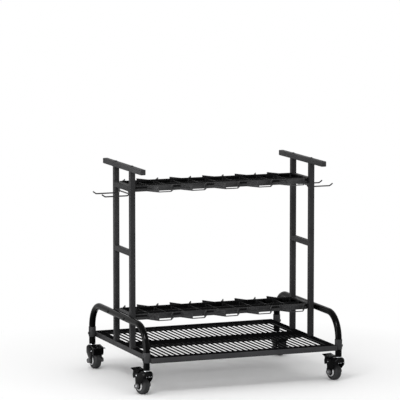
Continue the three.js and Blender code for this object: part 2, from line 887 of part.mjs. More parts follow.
function casterAxle() {
  const nutStart = forkWidth / 2 + axleNutGap;
  const nutEnd = nutStart + axleNutHeight;
  const floor = nutEnd - axleRecessDepth;
  const tip = floor + axleEndHeight;
  const outward = [
    point(axleRadius, nutStart), point(axleNutRadius, nutStart), point(axleNutRadius, nutEnd),
    point(axleRecessRadius, nutEnd), point(axleRecessRadius, floor), point(axleEndRadius, floor),
    point(axleEndRadius, tip), point(0, tip),
  ];
  const mirrored = outward.map((place) => point(place.x, -place.y)).reverse();
  return alongAxle(lathe([...mirrored, ...outward], axleSides));
}

// The pedal from the side: a tread with a lip, and a body that curves round behind the wheel
function pedalSide() {
  const top = casterHeight - pedalTreadDrop;
  const tip = casterHeight + pedalTipRise;
  const low = top - pedalThickness;
  const corners = [
    point(pedalStart, top), point(pedalStart, low), point(pedalBodyStart, low),
  ];
  for (let step = 0; step <= saddleSteps; step += 1) {
    const share = step / saddleSteps;
    const turn = THREE.MathUtils.degToRad(THREE.MathUtils.lerp(saddleRootTurn, saddleEndTurn, share));
    const reach = wheelRadius + THREE.MathUtils.lerp(saddleRootGap, saddleEndGap, share);
    corners.push(point(casterTrail + reach * Math.cos(turn), wheelRadius + reach * Math.sin(turn)));
  }
  const end = corners[corners.length - 1];
  corners.push(
    point(end.x + saddleThickness, end.y), point(pedalBackReach, casterHeight - pedalBackDrop),
    point(pedalNeckReach, casterHeight - pedalNeckDrop), point(pedalNeckReach, low),
    point(pedalReach - pedalLipWidth, tip - pedalThickness), point(pedalReach, tip - pedalLip),
    point(pedalReach, tip), point(pedalNeckReach, top),
  );
  return corners;
}

function pedalPlan() {
  return rounded(
    rectangle(pedalStart, pedalReach, -pedalWidth / 2, pedalWidth / 2),
    [pedalThickness, pedalCornerRadius, pedalCornerRadius, pedalThickness],
    cornerSteps,
  );
}

function pedalPins() {
  const inner = forkInside - pedalBodyGap;
  const end = forkWidth / 2 + pedalPinProud;
  const pin = rodAlongY(pedalPinRadius, pedalPivotForward, inner - pedalThickness, end, pivotZ(), boltSides);
  return [pin, pin.translate([0, pedalThickness - inner - end, 0])];
}

function casterPedal(turn) {
  const side = pedalSide();
  const narrow = sidePrism(side, 2 * (forkInside - pedalBodyGap));
  const treadLow = casterHeight - pedalTreadDrop - pedalThickness;
  const wide = sidePrism(side, pedalWidth)
    .subtract(block(0, pedalWideStart, -pedalWidth, pedalWidth, 0, treadLow))
    .intersect(prism(pedalPlan(), 2 * casterHeight));
  return joined([narrow, wide, ...pedalPins()])
    .translate([-pedalPivotForward, 0, -pivotZ()])
    .rotate([0, turn, 0])
    .translate([pedalPivotForward, 0, pivotZ()]);
}

// Finish: colour, roughness and metalness of each kind of material
const coatedSteel = [0x2e2e30, 0.45, 0.3];
const coatedTube = [0x1d1d1f, 0.35, 0.3];
const mouldedPlastic = [0x141416, 0.5, 0];
const capPlastic = [0x101012, 0.55, 0];
const wireSteel = [0x3a3a3c, 0.4, 0.5];
const boltSteel = [0x242426, 0.35, 0.8];
const zincSteel = [0xb4b6b8, 0.35, 0.9];
const tyreRubber = [0x333335, 0.85, 0];
const corePlastic = [0x9a9a9c, 0.5, 0];
const pedalPlastic = [0x161618, 0.55, 0];

const rack = new THREE.Group();
rack.name = 'garden_tool_rack';

function addPiece(name, solid, [color, roughness, metalness]) {
  const material = new THREE.MeshStandardMaterial({ color, roughness, metalness });
  const mesh = new THREE.Mesh(geometryOf(solid), material);
  mesh.name = name;
  rack.add(mesh);
}

function addTray() {
  addPiece('base_tray', baseTray(), coatedSteel);
  addPiece('tray_stiffener', trayStiffener(), coatedSteel);
}

// The left end is the right end turned half round, so its front pieces are built at the back
function addEnd(side) {
  const label = side > 0 ? 'right' : 'left';
  const place = (solid) => solid.rotate([0, 0, side > 0 ? 0 : 180]);
  addPiece(`arch_${label}`, place(arch()), coatedTube);
  [['front', -side], ['rear', side]].forEach(([end, sign]) => {
    const corner = `${end}_${label}`;
    addPiece(`upright_${corner}`, place(upright(sign * uprightY)), coatedSteel);
    addPiece(`bolt_arch_${corner}`, place(archBolt(sign * uprightY)), boltSteel);
    addPiece(`bolt_sleeve_${corner}`, place(sleeveBolt(sign * legY)), boltSteel);
    addPiece(`bolt_top_${corner}`, place(topBolt(sign * uprightY)), boltSteel);
    const capTurn = sign > 0 ? -90 : 90;
    const capY = sign * (topBarLength / 2 - capHead);
    const cap = endCap().rotate([capTurn, 0, 0]).translate([uprightX, capY, uprightTop + tubeSize / 2]);
    addPiece(`end_cap_${corner}`, place(cap), capPlastic);
  });
  addPiece(`rung_lower_${label}`, place(rung(lowerRungRise, pegHoles(lowerRungRise))), coatedSteel);
  addPiece(`rung_middle_${label}`, place(rung(middleRungRise, [])), coatedSteel);
  const upperHoles = [...pegHoles(upperRungRise), ...wirePegHoles()];
  addPiece(`rung_upper_${label}`, place(rung(upperRungRise, upperHoles)), coatedSteel);
  addPiece(`top_bar_${label}`, place(topBar()), coatedSteel);
  addPiece(`hook_${label}`, place(hook()), wireSteel);
}

function addGrids() {
  addPiece('lower_grid', grid(lowerRungRise), mouldedPlastic);
  addPiece('upper_grid', grid(upperRungRise), mouldedPlastic);
}

function addCaster(end, label) {
  const corner = `${end}_${label}`;
  const turn = end === 'front' ? frontTrailTurn : rearTrailTurn;
  const x = label === 'right' ? legX : -legX;
  const y = end === 'rear' ? legY : -legY;
  const place = (solid) => solid.rotate([0, 0, turn]).translate([x, y, 0]);
  addPiece(`caster_stem_${corner}`, casterStem().translate([x, y, 0]), zincSteel);
  addPiece(`caster_fork_${corner}`, place(casterFork()), pedalPlastic);
  addPiece(`caster_tyre_${corner}`, place(casterTyre()), tyreRubber);
  addPiece(`caster_core_${corner}`, place(casterCore()), corePlastic);
  addPiece(`caster_axle_${corner}`, place(casterAxle()), zincSteel);
  const pressed = end === 'rear' && label === 'left';
  addPiece(`caster_pedal_${corner}`, place(casterPedal(pressed ? pedalPressTurn : 0)), pedalPlastic);
}

addTray();
[1, -1].forEach(addEnd);
addGrids();
['front', 'rear'].forEach((end) => ['right', 'left'].forEach((label) => addCaster(end, label)));

export default rack;
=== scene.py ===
import bmesh
import bpy
import json
import math
from mathutils import Matrix, Vector
from mathutils.geometry import delaunay_2d_cdt


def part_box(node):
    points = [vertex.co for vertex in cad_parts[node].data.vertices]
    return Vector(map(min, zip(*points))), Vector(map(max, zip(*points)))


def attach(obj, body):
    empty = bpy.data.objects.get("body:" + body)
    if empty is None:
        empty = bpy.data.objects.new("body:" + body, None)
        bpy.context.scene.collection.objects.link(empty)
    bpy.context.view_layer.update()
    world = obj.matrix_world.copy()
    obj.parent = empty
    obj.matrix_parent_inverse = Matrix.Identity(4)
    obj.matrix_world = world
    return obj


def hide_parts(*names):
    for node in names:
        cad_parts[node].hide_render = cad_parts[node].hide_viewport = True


# Freestanding garden tool rack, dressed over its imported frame. Metres, +Z up, +Y to the back.
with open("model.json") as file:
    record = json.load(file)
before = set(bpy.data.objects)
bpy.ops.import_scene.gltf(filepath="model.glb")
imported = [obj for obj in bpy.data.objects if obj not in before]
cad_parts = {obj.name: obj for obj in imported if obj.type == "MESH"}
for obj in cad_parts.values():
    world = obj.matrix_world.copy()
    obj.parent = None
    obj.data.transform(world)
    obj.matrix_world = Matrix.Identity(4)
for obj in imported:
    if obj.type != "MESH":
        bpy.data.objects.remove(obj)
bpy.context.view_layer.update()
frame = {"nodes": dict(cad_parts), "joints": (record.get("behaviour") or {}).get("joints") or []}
joints = {joint["name"]: joint for joint in frame["joints"]}
sides = ["left", "right"]
corners = [f"{end}_{side}" for end in ("front", "rear") for side in sides]
print("frame loaded:", len(frame["nodes"]), "nodes")

# Places that several pieces share, read off the frame
uprightLow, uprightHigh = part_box("upright_front_right")
trayLow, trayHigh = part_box("base_tray")
archLow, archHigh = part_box("arch_right")
tubeSize = uprightHigh[0] - uprightLow[0]
tubeWall = 0.0015
trayEnd = uprightHigh[0]
deckTop = uprightLow[2]
legRadius = 0.0135
legX = (archHigh[0] + archLow[0]) / 2
legY = archHigh[1] - legRadius


# Meshes

def nodeCentre(node):
    low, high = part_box(node)
    return (Vector(low) + Vector(high)) / 2


def linkObject(name, data):
    obj = bpy.data.objects.new(name, data)
    bpy.context.scene.collection.objects.link(obj)
    return obj


def cleanMesh(mesh, mergeGap=1e-6):
    work = bmesh.new()
    work.from_mesh(mesh)
    bmesh.ops.remove_doubles(work, verts=work.verts, dist=mergeGap)
    bmesh.ops.recalc_face_normals(work, faces=work.faces)
    work.to_mesh(mesh)
    work.free()


def plainMesh(obj, name):
    # the evaluated object as a plain mesh; the source object goes
    graph = bpy.context.evaluated_depsgraph_get()
    mesh = bpy.data.meshes.new_from_object(obj.evaluated_get(graph))
    mesh.name = name
    data = obj.data
    bpy.data.objects.remove(obj)
    if isinstance(data, bpy.types.Curve):
        bpy.data.curves.remove(data)
    return mesh


def softenEdges(obj, width, degrees):
    bevel = obj.modifiers.new("softEdges", "BEVEL")
    bevel.width = width
    bevel.segments = 2
    bevel.limit_method = "ANGLE"
    bevel.angle_limit = math.radians(degrees)


class Shell:
    # gathers points and faces of one piece
    def __init__(self):
        self.points = []
        self.faces = []

    def add(self, points, faces, matrix=None):
        start = len(self.points)
        move = matrix or Matrix.Identity(4)
        self.points += [move @ Vector(point) for point in points]
        self.faces += [[start + index for index in face] for face in faces]
        return self

    def loft(self, rings, matrix=None, closed=False, capped=True):
        count = len(rings[0])
        points = [point for ring in rings for point in ring]
        faces = []
        spans = len(rings) if closed else len(rings) - 1
        for ring in range(spans):
            low, high = ring * count, ((ring + 1) % len(rings)) * count
            for index in range(count):
                after = (index + 1) % count
                faces.append([low + index, low + after, high + after, high + index])
        if capped and not closed:
            faces.append(list(range(count))[::-1])
            faces.append([(len(rings) - 1) * count + index for index in range(count)])
        return self.add(points, faces, matrix)

    def lathe(self, profile, sideCount, matrix=None, closed=False):
        # profile of (radius, height); open ends on the axis are merged when the piece is built
        rings = [circlePoints(radius, sideCount, height) for radius, height in profile]
        return self.loft(rings, matrix, closed=closed, capped=False)

    def addMesh(self, mesh, matrix=None):
        points = [vertex.co.copy() for vertex in mesh.vertices]
        faces = [list(polygon.vertices) for polygon in mesh.polygons]
        bpy.data.meshes.remove(mesh)
        return self.add(points, faces, matrix)

    def mesh(self, name):
        mesh = bpy.data.meshes.new(name)
        mesh.from_pydata(self.points, [], self.faces)
        cleanMesh(mesh)
        return mesh

    def build(self, name):
        return linkObject(name, self.mesh(name))

    def piece(self, name, *words, **more):
        return finishPiece(self.build(name), *words, **more)


def circlePoints(radius, sideCount, height=0.0):
    turns = [2 * math.pi * index / sideCount for index in range(sideCount)]
    return [Vector((radius * math.cos(turn), radius * math.sin(turn), height)) for turn in turns]


def turned(profile, sideCount, places, closed=True):
    # one profile turned about the Z axis of each place
    shell = Shell()
    for place in places:
        shell.lathe(profile, sideCount, place, closed)
    return shell


def quarterRound(steps, first=0):
    # sine and cosine at each step of a quarter turn
    turns = [math.pi / 2 * step / steps for step in range(first, steps + 1)]
    return [(math.sin(turn), math.cos(turn)) for turn in turns]


def roundedOutline(points, radii, steps=5):
    # a closed outline with its corners rounded; radii is one value or one for each corner
    outline = []
    places = [Vector(point) for point in points]
    for index, corner in enumerate(places):
        radius = radii[index] if isinstance(radii, (list, tuple)) else radii
        if radius <= 0:
            outline.append(corner)
            continue
        back = (places[index - 1] - corner).normalized()
        ahead = (places[(index + 1) % len(places)] - corner).normalized()
        half = back.angle(ahead) / 2
        centre = corner + (back + ahead).normalized() * radius / math.sin(half)
        start = corner + back * radius / math.tan(half) - centre
        end = corner + ahead * radius / math.tan(half) - centre
        turn = math.atan2(start.x * end.y - start.y * end.x, start.dot(end))
        for step in range(steps + 1):
            angle = turn * step / steps
            spun = Vector((
                start.x * math.cos(angle) - start.y * math.sin(angle),
                start.x * math.sin(angle) + start.y * math.cos(angle),
            ))
            outline.append(centre + spun)
    return outline


def outlinePoints(places, steps=8):
    # (place, radius) pairs as one rounded outline
    return roundedOutline([place for place, _ in places], [radius for _, radius in places], steps)


def rectangle(x0, x1, y0, y1):
    return [(x0, y0), (x1, y0), (x1, y1), (x0, y1)]


def lifted(outline, height):
    return [Vector((point[0], point[1], height)) for point in outline]


def signedArea(outline):
    return sum(a[0] * b[1] - a[1] * b[0] for a, b in zip(outline, outline[1:] + outline[:1])) / 2


def insetOutline(outline, inset):
    # the outline moved towards its inside by inset; a negative value moves it out
    side = 1 if signedArea(outline) > 0 else -1
    moved = []
    for index, place in enumerate(outline):
        back = Vector(place[:2]) - Vector(outline[index - 1][:2])
        ahead = Vector(outline[(index + 1) % len(outline)][:2]) - Vector(place[:2])
        back, ahead = back.normalized(), ahead.normalized()
        normal = Vector((-back.y, back.x)) + Vector((-ahead.y, ahead.x))
        moved.append(Vector(place[:2]) + normal * side * inset / max(1 + back.dot(ahead), 0.3))
    return moved


def filledFaces(outlines):
    # triangles inside the first outline and outside the holes in it, which are all convex
    points, edges, owners = [], [], []
    for owner, outline in enumerate(outlines):
        start, count = len(points), len(outline)
        points += [Vector(place[:2]) for place in outline]
        owners += [owner] * count
        edges += [(start + index, start + (index + 1) % count) for index in range(count)]
    places, _, faces, sources, _, _ = delaunay_2d_cdt(points, edges, [], 1, 1e-8)
    held = [owners[source[0]] for source in sources]
    return places, [face for face in faces if max(held[index] for index in face) == 0 or
                    min(held[index] for index in face) != max(held[index] for index in face)]


def plate(outlines, thickness, edge):
    # a flat plate from z = 0 up, with rounded edges; outlines after the first are holes
    shell = Shell()
    levels = [(edge * (1 - sine), edge * (1 - cosine)) for sine, cosine in quarterRound(2)]
    levels += [(inset, thickness - height) for inset, height in reversed(levels)]
    ends = []
    for index, outline in enumerate(outlines):
        sign = 1 if index == 0 else -1
        rings = [insetOutline(outline, sign * inset) for inset, _ in levels]
        shell.loft([lifted(ring, height) for ring, (_, height) in zip(rings, levels)], capped=False)
        ends.append(rings[0])
    points, faces = filledFaces(ends)
    shell.add([Vector((point.x, point.y, 0)) for point in points], [face[::-1] for face in faces])
    shell.add([Vector((point.x, point.y, thickness)) for point in points], faces)
    return shell.mesh("plate")


def tubeStations(points, radii, steps):
    # places and headings along straight runs joined by arcs
    places = [Vector(point) for point in points]
    first = (places[1] - places[0]).normalized()
    stations = [(places[0], first)]
    for index in range(1, len(places) - 1):
        back = (places[index - 1] - places[index]).normalized()
        ahead = (places[index + 1] - places[index]).normalized()
        half = back.angle(ahead) / 2
        radius = radii[index - 1]
        centre = places[index] + (back + ahead).normalized() * radius / math.sin(half)
        outward = (places[index] + back * radius / math.tan(half) - centre).normalized()
        along = -back
        for step in range(steps + 1):
            angle = (math.pi - 2 * half) * step / steps
            arm = outward * math.cos(angle) + along * math.sin(angle)
            heading = along * math.cos(angle) - outward * math.sin(angle)
            stations.append((centre + arm * radius, heading))
    stations.append((places[-1], (places[-1] - places[-2]).normalized()))
    return stations


def sweepRings(stations, section, up):
    # rings of a round section carried along the stations; up is the bend's normal
    rings = []
    for place, heading in stations:
        across = Vector(up).cross(heading).normalized()
        over = heading.cross(across).normalized()
        rings.append([place + across * point.x + over * point.y for point in section])
    return rings


def finishPiece(obj, material, body, slot, nodes=(), smoothAngle=35):
    mesh = obj.data
    mesh.materials.clear()
    mesh.materials.append(material)
    mesh.polygons.foreach_set("use_smooth", [True] * len(mesh.polygons))
    mesh.set_sharp_from_angle(angle=math.radians(smoothAngle))
    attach(obj, body)
    if nodes:
        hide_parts(*nodes)
    return obj


# Node helpers for materials and geometry

def setInputs(tree, node, inputs):
    # an input takes a value, or a link from a socket or from a node's first output
    for key, value in inputs.items():
        for entry in value if isinstance(value, list) else [value]:
            source = entry.outputs[0] if isinstance(entry, bpy.types.Node) else entry
            if isinstance(source, bpy.types.NodeSocket):
                tree.links.new(source, node.inputs[key])
            else:
                node.inputs[key].default_value = source
    return node


def addNode(tree, kind, inputs=None, **settings):
    node = tree.nodes.new(kind)
    for key, value in settings.items():
        setattr(node, key, value)
    return setInputs(tree, node, inputs or {})


def newMaterial(name, color, roughness, metallic=0.0, specular=0.5):
    material = bpy.data.materials.new(name)
    material.use_nodes = True
    tree = material.node_tree
    shader = setInputs(tree, tree.nodes["Principled BSDF"], {
        "Base Color": (*color, 1), "Roughness": roughness, "Metallic": metallic,
        "Specular IOR Level": specular,
    })
    return material, tree, shader


def noiseField(tree, scale, detail=4.0, roughness=0.55, stretch=None):
    vector = addNode(tree, "ShaderNodeTexCoord").outputs["Object"]
    if stretch:
        vector = addNode(tree, "ShaderNodeMapping", {"Scale": stretch, "Vector": vector})
    return addNode(tree, "ShaderNodeTexNoise", {
        "Scale": scale, "Detail": detail, "Roughness": roughness, "Vector": vector,
    }).outputs["Fac"]


def mapped(tree, value, fromLow, fromHigh, toLow, toHigh):
    return addNode(tree, "ShaderNodeMapRange", {
        "Value": value, "From Min": fromLow, "From Max": fromHigh, "To Min": toLow, "To Max": toHigh,
    }).outputs["Result"]


def spread(tree, noise, *limits, stretch=None):
    # a noise field with its values mapped from one range to another
    return mapped(tree, noiseField(tree, *noise, stretch=stretch), *limits)


def combined(tree, operation, first, second):
    return addNode(tree, "ShaderNodeMath", {0: first, 1: second}, operation=operation).outputs["Value"]


def blended(tree, factor, first, second):
    node = addNode(tree, "ShaderNodeMix", {"Factor": factor}, data_type="RGBA")
    for target, value in zip([entry for entry in node.inputs if entry.type == "RGBA"], (first, second)):
        if isinstance(value, bpy.types.NodeSocket):
            tree.links.new(value, target)
        else:
            target.default_value = (*value, 1)
    return [entry for entry in node.outputs if entry.type == "RGBA"][0]


def bumped(tree, height, strength, distance):
    return addNode(tree, "ShaderNodeBump", {
        "Height": height, "Strength": strength, "Distance": distance,
    }).outputs["Normal"]


def upFacing(tree):
    # 1 on faces that look up, where dust settles
    normal = addNode(tree, "ShaderNodeNewGeometry").outputs["Normal"]
    split = addNode(tree, "ShaderNodeSeparateXYZ", {"Vector": normal})
    return mapped(tree, split.outputs["Z"], 0.6, 1.0, 0, 1)


def newTree(name, entries):
    # a geometry tree with these inputs; gives the tree, the key of each input and the input node
    tree = bpy.data.node_groups.new(name, "GeometryNodeTree")
    keys = {}
    for label, kind, *value in entries:
        entry = tree.interface.new_socket(label, in_out="INPUT", socket_type=f"NodeSocket{kind}")
        if value:
            entry.default_value = value[0]
        keys[label] = entry.identifier
    tree.interface.new_socket("Geometry", in_out="OUTPUT", socket_type="NodeSocketGeometry")
    return tree, keys, tree.nodes.new("NodeGroupInput")


def closeTree(tree, source, geometry):
    # the geometry made real and given the tree's finish
    real = addNode(tree, "GeometryNodeRealizeInstances", {"Geometry": geometry})
    painted = addNode(tree, "GeometryNodeSetMaterial", {
        "Geometry": real, "Material": source.outputs["Finish"],
    })
    addNode(tree, "NodeGroupOutput", {"Geometry": painted})


def runTree(holder, madeTree, values):
    tree, keys = madeTree
    modifier = holder.modifiers.new(tree.name, "NODES")
    modifier.node_group = tree
    for label, value in values.items():
        modifier[keys[label]] = value


# Finishes; each noise is its scale, detail and sometimes roughness

coatSizes = {
    "clouds": (7, 5), "speckle": (2600, 2), "dust": (38, 6), "sheen": (55, 4), "peel": (900, 3),
    "peelDepth": 0.00012, "dustColor": (0.16, 0.155, 0.145), "dustGain": 4,
}
plasticSizes = {
    "streaks": (9, 4), "streakStretch": (1, 4, 6), "scuffs": (120, 8, 0.75), "sheen": (30, 5),
    "grain": (1400, 3, 0.7), "grainDepth": 0.00008,
}
platingSizes = {"brush": (260, 4), "brushStretch": (1, 1, 9), "clouds": (60, 5), "brushDepth": 0.00005}
rubberSizes = {
    "dust": (90, 6, 0.7), "sheen": (60, 4), "skin": (1100, 4, 0.7), "skinDepth": 0.0001, "roughness": 0.8,
    "specular": 0.15,
}


def shaded(color, share, lift=0.0):
    return tuple(value * share + lift for value in color)


def powderCoat(name, color, roughness, specular, dust=0.03):
    # baked powder: fine orange peel, slow clouding, faint dust on what faces up
    sizes = coatSizes
    material, tree, shader = newMaterial(name, color, roughness, specular=specular)
    clouds = spread(tree, sizes["clouds"], 0.35, 0.65, 0, 1)
    speckle = spread(tree, sizes["speckle"], 0.62, 0.72, 0, 0.35)
    dusty = spread(tree, sizes["dust"], 0.45, 0.8, 0, dust * sizes["dustGain"])
    clouded = blended(tree, clouds, shaded(color, 0.82), shaded(color, 1.22))
    speckled = blended(tree, speckle, clouded, shaded(color, 1.6, 0.001))
    settled = combined(tree, "MULTIPLY", upFacing(tree), dusty)
    setInputs(tree, shader, {
        "Base Color": blended(tree, settled, speckled, sizes["dustColor"]),
        "Roughness": spread(tree, sizes["sheen"], 0.3, 0.7, roughness - 0.06, roughness + 0.07),
        "Normal": bumped(tree, noiseField(tree, *sizes["peel"]), 0.35, sizes["peelDepth"]),
    })
    return material


def mouldedPlastic(name, color, roughness, specular):
    # spark-eroded grain with faint flow streaks and a little handling shine
    sizes = plasticSizes
    material, tree, shader = newMaterial(name, color, roughness, specular=specular)
    streaks = spread(tree, sizes["streaks"], 0.35, 0.7, 0, 1, stretch=sizes["streakStretch"])
    scuffs = spread(tree, sizes["scuffs"], 0.66, 0.8, 0, 0.35)
    toned = blended(tree, streaks, shaded(color, 0.8), shaded(color, 1.5, 0.0005))
    setInputs(tree, shader, {
        "Base Color": blended(tree, scuffs, toned, shaded(color, 2, 0.004)),
        "Roughness": spread(tree, sizes["sheen"], 0.3, 0.7, roughness - 0.08, roughness + 0.08),
        "Normal": bumped(tree, noiseField(tree, *sizes["grain"]), 0.4, sizes["grainDepth"]),
    })
    return material


def insideShadedPlastic(name, color, paintedShadeColor, roughness, specular):
    # moulded plastic with its inside painted darker as shade: pockets, groove and lattice take the shade
    # colour, the outer walls keep the plain colour
    material = mouldedPlastic(name, color, roughness, specular)
    tree = material.node_tree
    base = tree.nodes["Principled BSDF"].inputs["Base Color"]
    outer = addNode(tree, "ShaderNodeAttribute", attribute_name="outerWall").outputs["Fac"]
    # outer walls keep the base colour; every other face gets the painted shade colour
    tree.links.new(blended(tree, outer, paintedShadeColor, base.links[0].from_socket), base)
    return material


def platedSteel(name, color, roughness):
    # plated steel: brushed streaks and slight clouding of the plating
    sizes = platingSizes
    material, tree, shader = newMaterial(name, color, roughness, metallic=1.0)
    brushed = noiseField(tree, *sizes["brush"], stretch=sizes["brushStretch"])
    clouds = spread(tree, sizes["clouds"], 0.35, 0.65, 0, 1)
    setInputs(tree, shader, {
        "Base Color": blended(tree, clouds, shaded(color, 0.82), shaded(color, 1.12)),
        "Roughness": mapped(tree, brushed, 0.3, 0.7, roughness - 0.08, roughness + 0.12),
        "Normal": bumped(tree, brushed, 0.2, sizes["brushDepth"]),
    })
    return material


def treadRubber(name, color):
    # matte rubber, dusty where it rolls, with a fine skin
    sizes = rubberSizes
    material, tree, shader = newMaterial(name, color, sizes["roughness"], specular=sizes["specular"])
    dust = spread(tree, sizes["dust"], 0.42, 0.75, 0, 0.55)
    setInputs(tree, shader, {
        "Base Color": blended(tree, dust, color, shaded(color, 1.9, 0.01)),
        "Roughness": spread(tree, sizes["sheen"], 0.3, 0.7, 0.72, 0.9),
        "Normal": bumped(tree, noiseField(tree, *sizes["skin"]), 0.5, sizes["skinDepth"]),
    })
    return material


coatedSteel = powderCoat("coatedSteel", (0.035, 0.035, 0.0364), 0.5, 0.05)
coatedPost = powderCoat("coatedPost", (0.026, 0.026, 0.027), 0.5, 0.05)
# the deck's top: the flange's coat painted near black as shade, because the up-facing sheet lies in shade
deckShadeCoat = powderCoat("deckShadeCoat", (0.004, 0.004, 0.0044), 0.7, 0.0, dust=0.005)
coatedTube = powderCoat("coatedTube", (0.0008, 0.0008, 0.0009), 0.2, 0.035, dust=0.0)
# the second colour is painted shade for the lattice, the pockets and the groove
gridPlastic = insideShadedPlastic("gridPlastic", (0.037, 0.037, 0.038), (0.005, 0.005, 0.0053), 0.45, 0.04)
capPlastic = mouldedPlastic("capPlastic", (0.026, 0.026, 0.027), 0.45, 0.05)
casterPlastic = mouldedPlastic("casterPlastic", (0.002, 0.002, 0.0022), 0.14, 0.05)
cupPlastic = mouldedPlastic("cupPlastic", (0.08, 0.08, 0.082), 0.4, 0.2)
wheelPlastic = mouldedPlastic("wheelPlastic", (0.02, 0.02, 0.021), 0.45, 0.1)
corePlastic = mouldedPlastic("corePlastic", (0.5, 0.5, 0.505), 0.45, 0.3)
hookCoat = powderCoat("hookCoat", (0.015, 0.015, 0.016), 0.3, 0.3)
boltSteel = powderCoat("boltSteel", (0.001, 0.001, 0.0011), 0.3, 0.06)
zincSteel = platedSteel("zincSteel", (0.62, 0.63, 0.65), 0.3)
nutSteel = platedSteel("nutSteel", (0.28, 0.28, 0.29), 0.42)
tyreRubber = treadRubber("tyreRubber", (0.021, 0.021, 0.022))
print("finishes made")


# Tray: perforated deck, folded flange, corner sleeves, stiffening channel

traySizes = {
    "sheet": 0.0015, "fold": 0.0025, "corner": 0.003, "slotWidth": 0.012, "slotPitch": 0.0228,
    "slotCount": 33, "slotEnd": 0.305, "slotStart": 0.040, "edge": 0.00025, "hem": 0.0002,
    "leastRadius": 0.0008, "sleeveLow": 0.131, "sleeveRadius": 0.0152, "sleeveFit": 0.0002,
    "sleeveRim": 0.0006, "channelLip": 0.008, "channelBend": 0.003, "channelEdge": 0.0004, "sleeveSoft": 0.3,
    "sleeveSides": 40,
}


def roundedFrame(tree, width, height, radius, count):
    sharp = addNode(tree, "GeometryNodeCurvePrimitiveQuadrilateral", {"Width": width, "Height": height})
    inputs = {"Curve": sharp, "Radius": radius, "Count": count}
    return addNode(tree, "GeometryNodeFilletCurve", inputs, mode="POLY")


def makeDeckTree():
    # a sheet with two rows of slots: outline and slot outlines filled, then given its thickness
    tree, keys, source = newTree("perforatedDeck", [
        ("Length", "Float", 0.8), ("Depth", "Float", 0.7), ("Corner", "Float", 0.003),
        ("Slot Width", "Float", 0.012), ("Slot Length", "Float", 0.265), ("Slot Pitch", "Float", 0.0228),
        ("Row Shift", "Float", 0.17), ("Sheet", "Float", 0.0015), ("Slots", "Int", 33),
        ("Finish", "Material"),
    ])
    given = source.outputs
    sheet = roundedFrame(tree, given["Length"], given["Depth"], given["Corner"], 4)
    nearHalf = combined(tree, "MULTIPLY", given["Slot Width"], 0.4995)
    slot = roundedFrame(tree, given["Slot Width"], given["Slot Length"], nearHalf, 5)
    gaps = combined(tree, "SUBTRACT", given["Slots"], 1.0)
    firstX = combined(tree, "MULTIPLY", combined(tree, "MULTIPLY", gaps, given["Slot Pitch"]), -0.5)
    pitchStep = addNode(tree, "ShaderNodeCombineXYZ", {"X": given["Slot Pitch"]})
    rows = []
    for sign in (1.0, -1.0):
        shift = combined(tree, "MULTIPLY", given["Row Shift"], sign)
        start = addNode(tree, "ShaderNodeCombineXYZ", {"X": firstX, "Y": shift})
        rows.append(addNode(tree, "GeometryNodeMeshLine", {
            "Count": given["Slots"], "Start Location": start, "Offset": pitchStep,
        }, mode="OFFSET"))
    points = addNode(tree, "GeometryNodeJoinGeometry", {"Geometry": rows})
    slots = addNode(tree, "GeometryNodeInstanceOnPoints", {"Points": points, "Instance": slot})
    slotsReal = addNode(tree, "GeometryNodeRealizeInstances", {"Geometry": slots})
    outlines = addNode(tree, "GeometryNodeJoinGeometry", {"Geometry": [sheet, slotsReal]})
    fill = addNode(tree, "GeometryNodeFillCurve", {"Curve": outlines})
    thick = addNode(tree, "GeometryNodeExtrudeMesh", {
        "Mesh": fill, "Offset Scale": given["Sheet"], "Individual": False,
    }, mode="FACES")
    underside = addNode(tree, "GeometryNodeFlipFaces", {"Mesh": fill})
    both = addNode(tree, "GeometryNodeJoinGeometry", {"Geometry": [thick, underside]})
    welded = addNode(tree, "GeometryNodeMergeByDistance", {"Geometry": both, "Distance": 1e-6})
    closeTree(tree, source, welded)
    return tree, keys


def makeDeckSheet():
    sizes = traySizes
    holder = linkObject("deckSource", bpy.data.meshes.new("deckSource"))
    runTree(holder, makeDeckTree(), {
        "Length": 2 * (trayEnd - sizes["fold"]), "Depth": 2 * (trayHigh[1] - sizes["fold"]),
        "Corner": sizes["corner"], "Slot Width": sizes["slotWidth"],
        "Slot Length": sizes["slotEnd"] - sizes["slotStart"], "Slot Pitch": sizes["slotPitch"],
        "Row Shift": (sizes["slotEnd"] + sizes["slotStart"]) / 2, "Sheet": sizes["sheet"],
        "Slots": sizes["slotCount"], "Finish": deckShadeCoat,
    })
    softenEdges(holder, sizes["edge"], 50)
    mesh = plainMesh(holder, "deckSheet")
    lowest = min(vertex.co.z for vertex in mesh.vertices)
    mesh.transform(Matrix.Translation((0, 0, deckTop - sizes["sheet"] - lowest)))
    # the deck takes the painted-shade coat, darker than the flange it folds into
    return finishPiece(linkObject("deckSheet", mesh), deckShadeCoat, "frame", "coated_steel", ["base_tray"])


def flangeRing(inset, height):
    halfX, halfY = trayEnd - inset, trayHigh[1] - inset
    radius = max(traySizes["corner"] + traySizes["fold"] - inset, traySizes["leastRadius"])
    return lifted(roundedOutline(rectangle(-halfX, halfX, -halfY, halfY), radius, 6), height)


def makeFlange():
    # the deck's edge folds down into a flange with a tight hem at its bottom
    sheet, fold, hem, low = traySizes["sheet"], traySizes["fold"], traySizes["hem"], trayLow[2]
    bend, inner = fold - sheet, deckTop - sheet
    places = [(fold * (1 - sine), deckTop - fold * (1 - cosine)) for sine, cosine in quarterRound(6)]
    places += [(0, low + 3 * hem), (hem, low + hem / 2)]
    places += [(sheet - hem, low + hem / 2), (sheet, low + 3 * hem)]
    for sine, cosine in reversed(quarterRound(4)):
        places.append((fold - bend * sine, inner - bend * (1 - cosine)))
    rings = [flangeRing(inset, height) for inset, height in places]
    return Shell().loft(rings, closed=True).piece("trayFlange", coatedSteel, "frame", "coated_steel")


